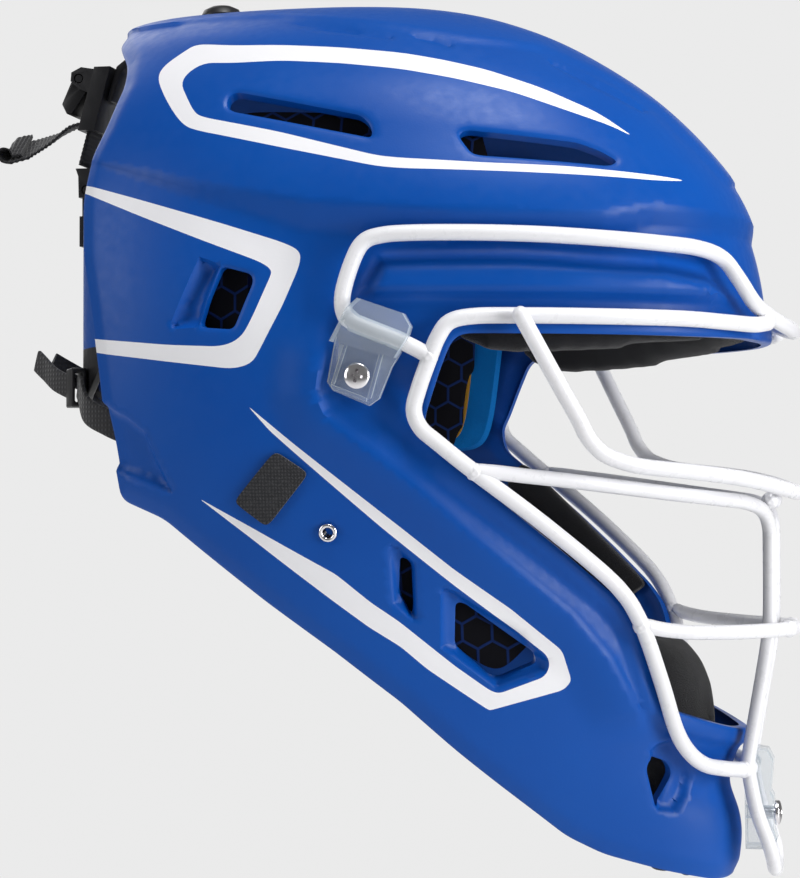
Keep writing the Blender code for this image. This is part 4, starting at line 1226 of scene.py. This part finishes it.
# ----------------------------------------------------------- rear adjustment
RIB_STEP = 1.7
PLATE_BLACK_END = -4
# The back plate is an arc about its centre; a slider sits at each end, on its outside.
PLATE_CENTRE, SLIDER_REACH = (-36.5, 0, -19), 91.4
SLIDER_TURN = math.asin(38 / 88)


def strap(name, route, leans, width, thickness, finish, body, nodes, rib=0.0, part=(0, 1)):
    """Webbing along a route, or along a part of it: rounded edges, and ribs woven across it."""
    path = catmull(route, 24)
    leans = catmull(leans, 24)
    first, last = (round(share * (len(path) - 1)) for share in part)
    path, leans = path[first:last + 1], leans[first:last + 1]
    run = 0.0
    bm = bmesh.new()
    rings = []
    profile = [(a, math.copysign(abs(math.sin(b)) ** 0.5, math.sin(b)))
               for a, b in [(math.cos(t), t) for t in np.linspace(0, 2 * math.pi, 20, endpoint=False)]]
    for i, point in enumerate(path):
        if i:
            run += (point - path[i - 1]).length
        ahead = (path[min(i + 1, len(path) - 1)] - path[max(i - 1, 0)]).normalized()
        across = (leans[i] - ahead * leans[i].dot(ahead)).normalized()
        out = ahead.cross(across)
        swell = 1 + rib * math.sin(2 * math.pi * run / RIB_STEP)
        rings.append([bm.verts.new(point + across * math.copysign(abs(a) ** 0.25, a) * width / 2
                                   + out * b * swell * thickness / 2) for a, b in profile])
    close_tube(bm, rings)
    piece = mesh_object(name, bm, [finish], angle=50)
    if isinstance(body, tuple):
        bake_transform(piece)
        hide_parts(*nodes)
        return piece
    return stands_for(piece, body, "webbing_black", *nodes)


def blacken_below(obj, height):
    """The back plate's lower end is left black."""
    obj.data.materials.append(NYLON)
    bm = bmesh.new()
    bm.from_mesh(obj.data)
    bmesh.ops.bisect_plane(bm, geom=[*bm.verts, *bm.edges, *bm.faces], plane_co=mm(0, 0, height),
                           plane_no=(0, 0, 1))
    for face in bm.faces:
        if face.calc_center_median().z < height / 1000:
            face.material_index = 1
    bm.to_mesh(obj.data)
    bm.free()


def build_rear():
    moulded = {"buckle_frame": "shell", "buckle_lever": "buckle_lever", "buckle_bracket": "shell",
               "strap_end_fork": "drop_strap", "plate_keeper": "back_plate",
               "strap_slider_right": "back_plate", "strap_slider_left": "back_plate"}
    for node, body in moulded.items():
        softened(node, 0.7, [NYLON], body, "trim_black")
    softened("crown_anchor_cap", 0, [NYLON], "shell", "trim_black")
    plate = softened("back_plate", 0.8, [SHELL_PAINT], "back_plate", "shell_blue")
    blacken_below(plate, PLATE_BLACK_END)
    side_to_side = (0, 1, 0)
    drop = [(-120.4, 0, 97), (-123.95, 0, 83.8), (-127.5, 0, 70.6)]
    strap("drop_webbing", drop, [side_to_side] * 3, 20, 1.5, WEBBING, "drop_strap", ["drop_strap"], 0.2)
    tail = [(-127.6, 0, 87.8), (-133, -0.5, 87), (-141, -1, 82.5), (-149, -1.5, 79), (-153, -2, 77.8),
            (-157, -2, 77), (-158.7, -2, 78.1), (-157, -2, 79.4), (-152, -2, 80.1)]
    lean = [(0, 1, 0.05), (0, 1, 0.2), (0, 1, 0.4), (0, 1, 0.55)] + [(0, 1, 0.6)] * 5
    strap("tail_webbing", tail, lean, 20, 1.5, WEBBING, "strap_tail", ["strap_tail"], 0.3)
    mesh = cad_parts["back_plate_pad"].data.copy()
    mesh.materials.clear()
    cover = new_object("back_plate_pad_cover", mesh, [HEX_FABRIC])
    pad(blown_up(cover, cap=0.3), "back_plate_pad", body="back_plate")
    for side, label in SIDES:
        out = Vector((-math.cos(SLIDER_TURN), -side * math.sin(SLIDER_TURN), 0))
        along = Vector((-math.sin(SLIDER_TURN), side * math.cos(SLIDER_TURN), 0))
        centre = Vector(PLATE_CENTRE) + out * SLIDER_REACH
        run = [(-86, -side * 76, -37), (-97, -side * 70, -33), (-108, -side * 60, -28), centre - along * 10]
        # The elastic between the shell and the plate is made in two halves.
        for which, bodies, part in (("front", ("shell", "drop_strap"), (0, 0.5)),
                                    ("rear", ("drop_strap", "back_plate"), (0.5, 1))):
            strap(f"lower_webbing_{which}_{label}", run, [(0, 0, 1)] * 4, 10, 1.7, WEBBING, bodies,
                  ["lower_elastic_" + label], part=part)
        free = [centre + along * 9, (-133, -side * 22, -15), (-140, -side * 14, -10.5),
                (-145, -side * 9, -7)]
        strap("tail_elastic_" + label, free, [(0, 0, 1)] * 4, 9, 1.7, WEBBING, "back_plate",
              ["elastic_tail_" + label])


# ----------------------------------------------------------- more materials
def math_node(made, operation, first, second=None):
    node = add_node(made, "ShaderNodeMath", operation=operation)
    for index, value in enumerate((first, second)):
        if value is None:
            continue
        if isinstance(value, (int, float)):
            node.inputs[index].default_value = value
        else:
            link(made, value, node.inputs[index])
    return node.outputs[0]


def woven(name, colour, lighter, scale, strength=0.5):
    """Plain weave: crossing waves in the object's own coordinates, with lint."""
    made, shader = principled(name, colour, 0.85, Sheen_Weight=0.3, Sheen_Roughness=0.4)
    place = add_node(made, "ShaderNodeTexCoord")
    heights = []
    for direction in ("X", "Z"):
        wave = add_node(made, "ShaderNodeTexWave", bands_direction=direction, Scale=scale, Distortion=0.6,
                        Detail=1.0)
        link(made, place.outputs["Object"], wave.inputs["Vector"])
        heights.append(wave.outputs["Fac"])
    crossings = math_node(made, "MULTIPLY", *heights)
    lint = spread(made, noise(made, 900, 3), 0, 1, 0.5, 0.8)
    total = math_node(made, "ADD", crossings, lint)
    link(made, mixed(made, spread(made, total, 0, 1, 0, 1.6), colour, lighter), shader.inputs["Base Color"])
    bumped(made, shader, crossings, strength, 0.0004)
    return made


def speckled(name, colour, lighter, scale, sheen=0.25):
    """Knit or velour: fine fibres, a few of which catch the light."""
    made, shader = principled(name, colour, 0.95, Sheen_Weight=sheen, Sheen_Roughness=0.5,
                              Specular_IOR_Level=0.2)
    fine = noise(made, scale, 6, 0.8)
    tone = mixed(made, spread(made, fine, 0, 1, 0.55, 0.75), colour, lighter)
    link(made, tone, shader.inputs["Base Color"])
    bumped(made, shader, fine, 0.8, 0.0008)
    return made


def hexagon_fabric(name, size):
    """Black lining fabric with a printed hexagon grid; size is a cell's width in metres."""
    made, shader = principled(name, (0.006, 0.007, 0.01), 0.85, Specular_IOR_Level=0.12)
    place = add_node(made, "ShaderNodeTexCoord")
    split = add_node(made, "ShaderNodeSeparateXYZ")
    link(made, place.outputs["Object"], split.inputs[0])
    x = math_node(made, "DIVIDE", split.outputs["X"], size)
    z = math_node(made, "DIVIDE", split.outputs["Z"], size)
    tall = math.sqrt(3)

    def cell(offset):
        """|x| and |z| from the nearest centre of one of the two rectangular grids."""
        dx = math_node(made, "FLOORED_MODULO", math_node(made, "ADD", x, offset), 1.0)
        dz = math_node(made, "FLOORED_MODULO", math_node(made, "ADD", z, offset * tall), tall)
        return (math_node(made, "ABSOLUTE", math_node(made, "SUBTRACT", dx, 0.5)),
                math_node(made, "ABSOLUTE", math_node(made, "SUBTRACT", dz, tall / 2)))

    reaches = []
    for offset in (0.0, 0.5):
        dx, dz = cell(offset)
        slanted = math_node(made, "ADD", math_node(made, "MULTIPLY", dx, 0.5),
                            math_node(made, "MULTIPLY", dz, tall / 2))
        reaches.append(math_node(made, "MAXIMUM", dx, slanted))
    edge = math_node(made, "MINIMUM", *reaches)
    printed = spread(made, edge, 0, 1, 0.44, 0.47)
    tone = mixed(made, printed, (0.003, 0.003, 0.005), (0.005, 0.018, 0.085))
    link(made, tone, shader.inputs["Base Color"])
    bumped(made, shader, printed, 0.5, 0.0004)
    return made


def clear_plastic(name):
    """Clear moulded polycarbonate: a little milky, and more opaque and milky where it is seen edge on, a
    painted reflection on its edges, with fine flow marks.
    """
    made, shader = principled(name, (0.62, 0.70, 0.76), 0.12)
    facing = add_node(made, "ShaderNodeLayerWeight", Blend=0.5)
    # Opacity rises where the surface is seen edge on: painted reflection, with a little random haze.
    edge_sheen_and_haze = math_node(made, "ADD", facing.outputs["Facing"], spread(made, noise(made, 120, 2), -0.05, 0.05))
    link(made, spread(made, edge_sheen_and_haze, 0.22, 0.72, 0.05, 0.85), shader.inputs["Alpha"])
    link(made, spread(made, noise(made, 500, 3), 0.08, 0.18), shader.inputs["Roughness"])
    return made


def metal(name, colour, roughness):
    made, shader = principled(name, colour, roughness, Metallic=1.0)
    link(made, spread(made, noise(made, 700, 4), roughness - 0.05, roughness + 0.12, 0.3, 0.8),
         shader.inputs["Roughness"])
    bumped(made, shader, noise(made, 2500, 2), 0.05, 0.0001)
    return made


CHROME = metal("bright_steel", (0.82, 0.80, 0.82), 0.16)
# Nearly black steel for the cutters of the screws' cross recesses: painted shade in the recesses.
RECESS_PAINTED_SHADE = metal("recess_painted_shade", (0.05, 0.05, 0.06), 0.4)
CLIP_POLYCARBONATE = clear_plastic("clear_polycarbonate")
NYLON = satin_paint("moulded_nylon", (0.010, 0.010, 0.012), (0.014, 0.014, 0.016), 0.42)
WEBBING = woven("webbing", (0.008, 0.008, 0.010), (0.022, 0.022, 0.026), 180)
HOOK_TAPE = woven("hook_tape", (0.007, 0.008, 0.011), (0.04, 0.04, 0.045), 260, strength=0.9)
KNIT = speckled("knit_lining", (0.006, 0.006, 0.008), (0.035, 0.035, 0.042), 1800)
VELOUR = speckled("chin_velour", (0.007, 0.007, 0.008), (0.06, 0.06, 0.065), 1500)
HEX_FABRIC = hexagon_fabric("hexagon_lining", 0.0105)
AZURE_FOAM = speckled("azure_foam", (0.0, 0.16, 0.52), (0.005, 0.21, 0.62), 1200, sheen=0.0)
ORANGE_FILM = speckled("orange_film", (0.50, 0.26, 0.03), (0.60, 0.34, 0.06), 900, sheen=0.0)


def build_fittings():
    for side, label in SIDES:
        build_side_clip(side, label)
        build_eyelet(side, label)
        patch = slab("hook_tape_" + label, side_patch(HOOK_PATCH, side), -0.5, -1.4, [HOOK_TAPE], rows=14,
                     columns=10, corner=0.22, crown=0, edge=0.75)
        stands_for(patch, "shell", "webbing_black", "hook_patch_" + label)
    softened("chin_clip", 0.9, [CLIP_POLYCARBONATE], "shell", "clip_clear")
    x, z = CHIN_SCREW
    phillips_screw("chin_clip_screw", (x, 0, z), (1, 0, 0))


build_camera()
build_studio()
build_shell(SHELL_PAINT, STRIPE_PAINT, SHELL_INSIDE)
build_cage()
build_fittings()
build_pads()
build_rear()
for node_name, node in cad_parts.items():
    if not node.hide_render:
        node.data.materials.clear()
        node.data.materials.append(CHROME if "nut" in node_name or "rivet" in node_name else NYLON)

bpy.context.view_layer.update()
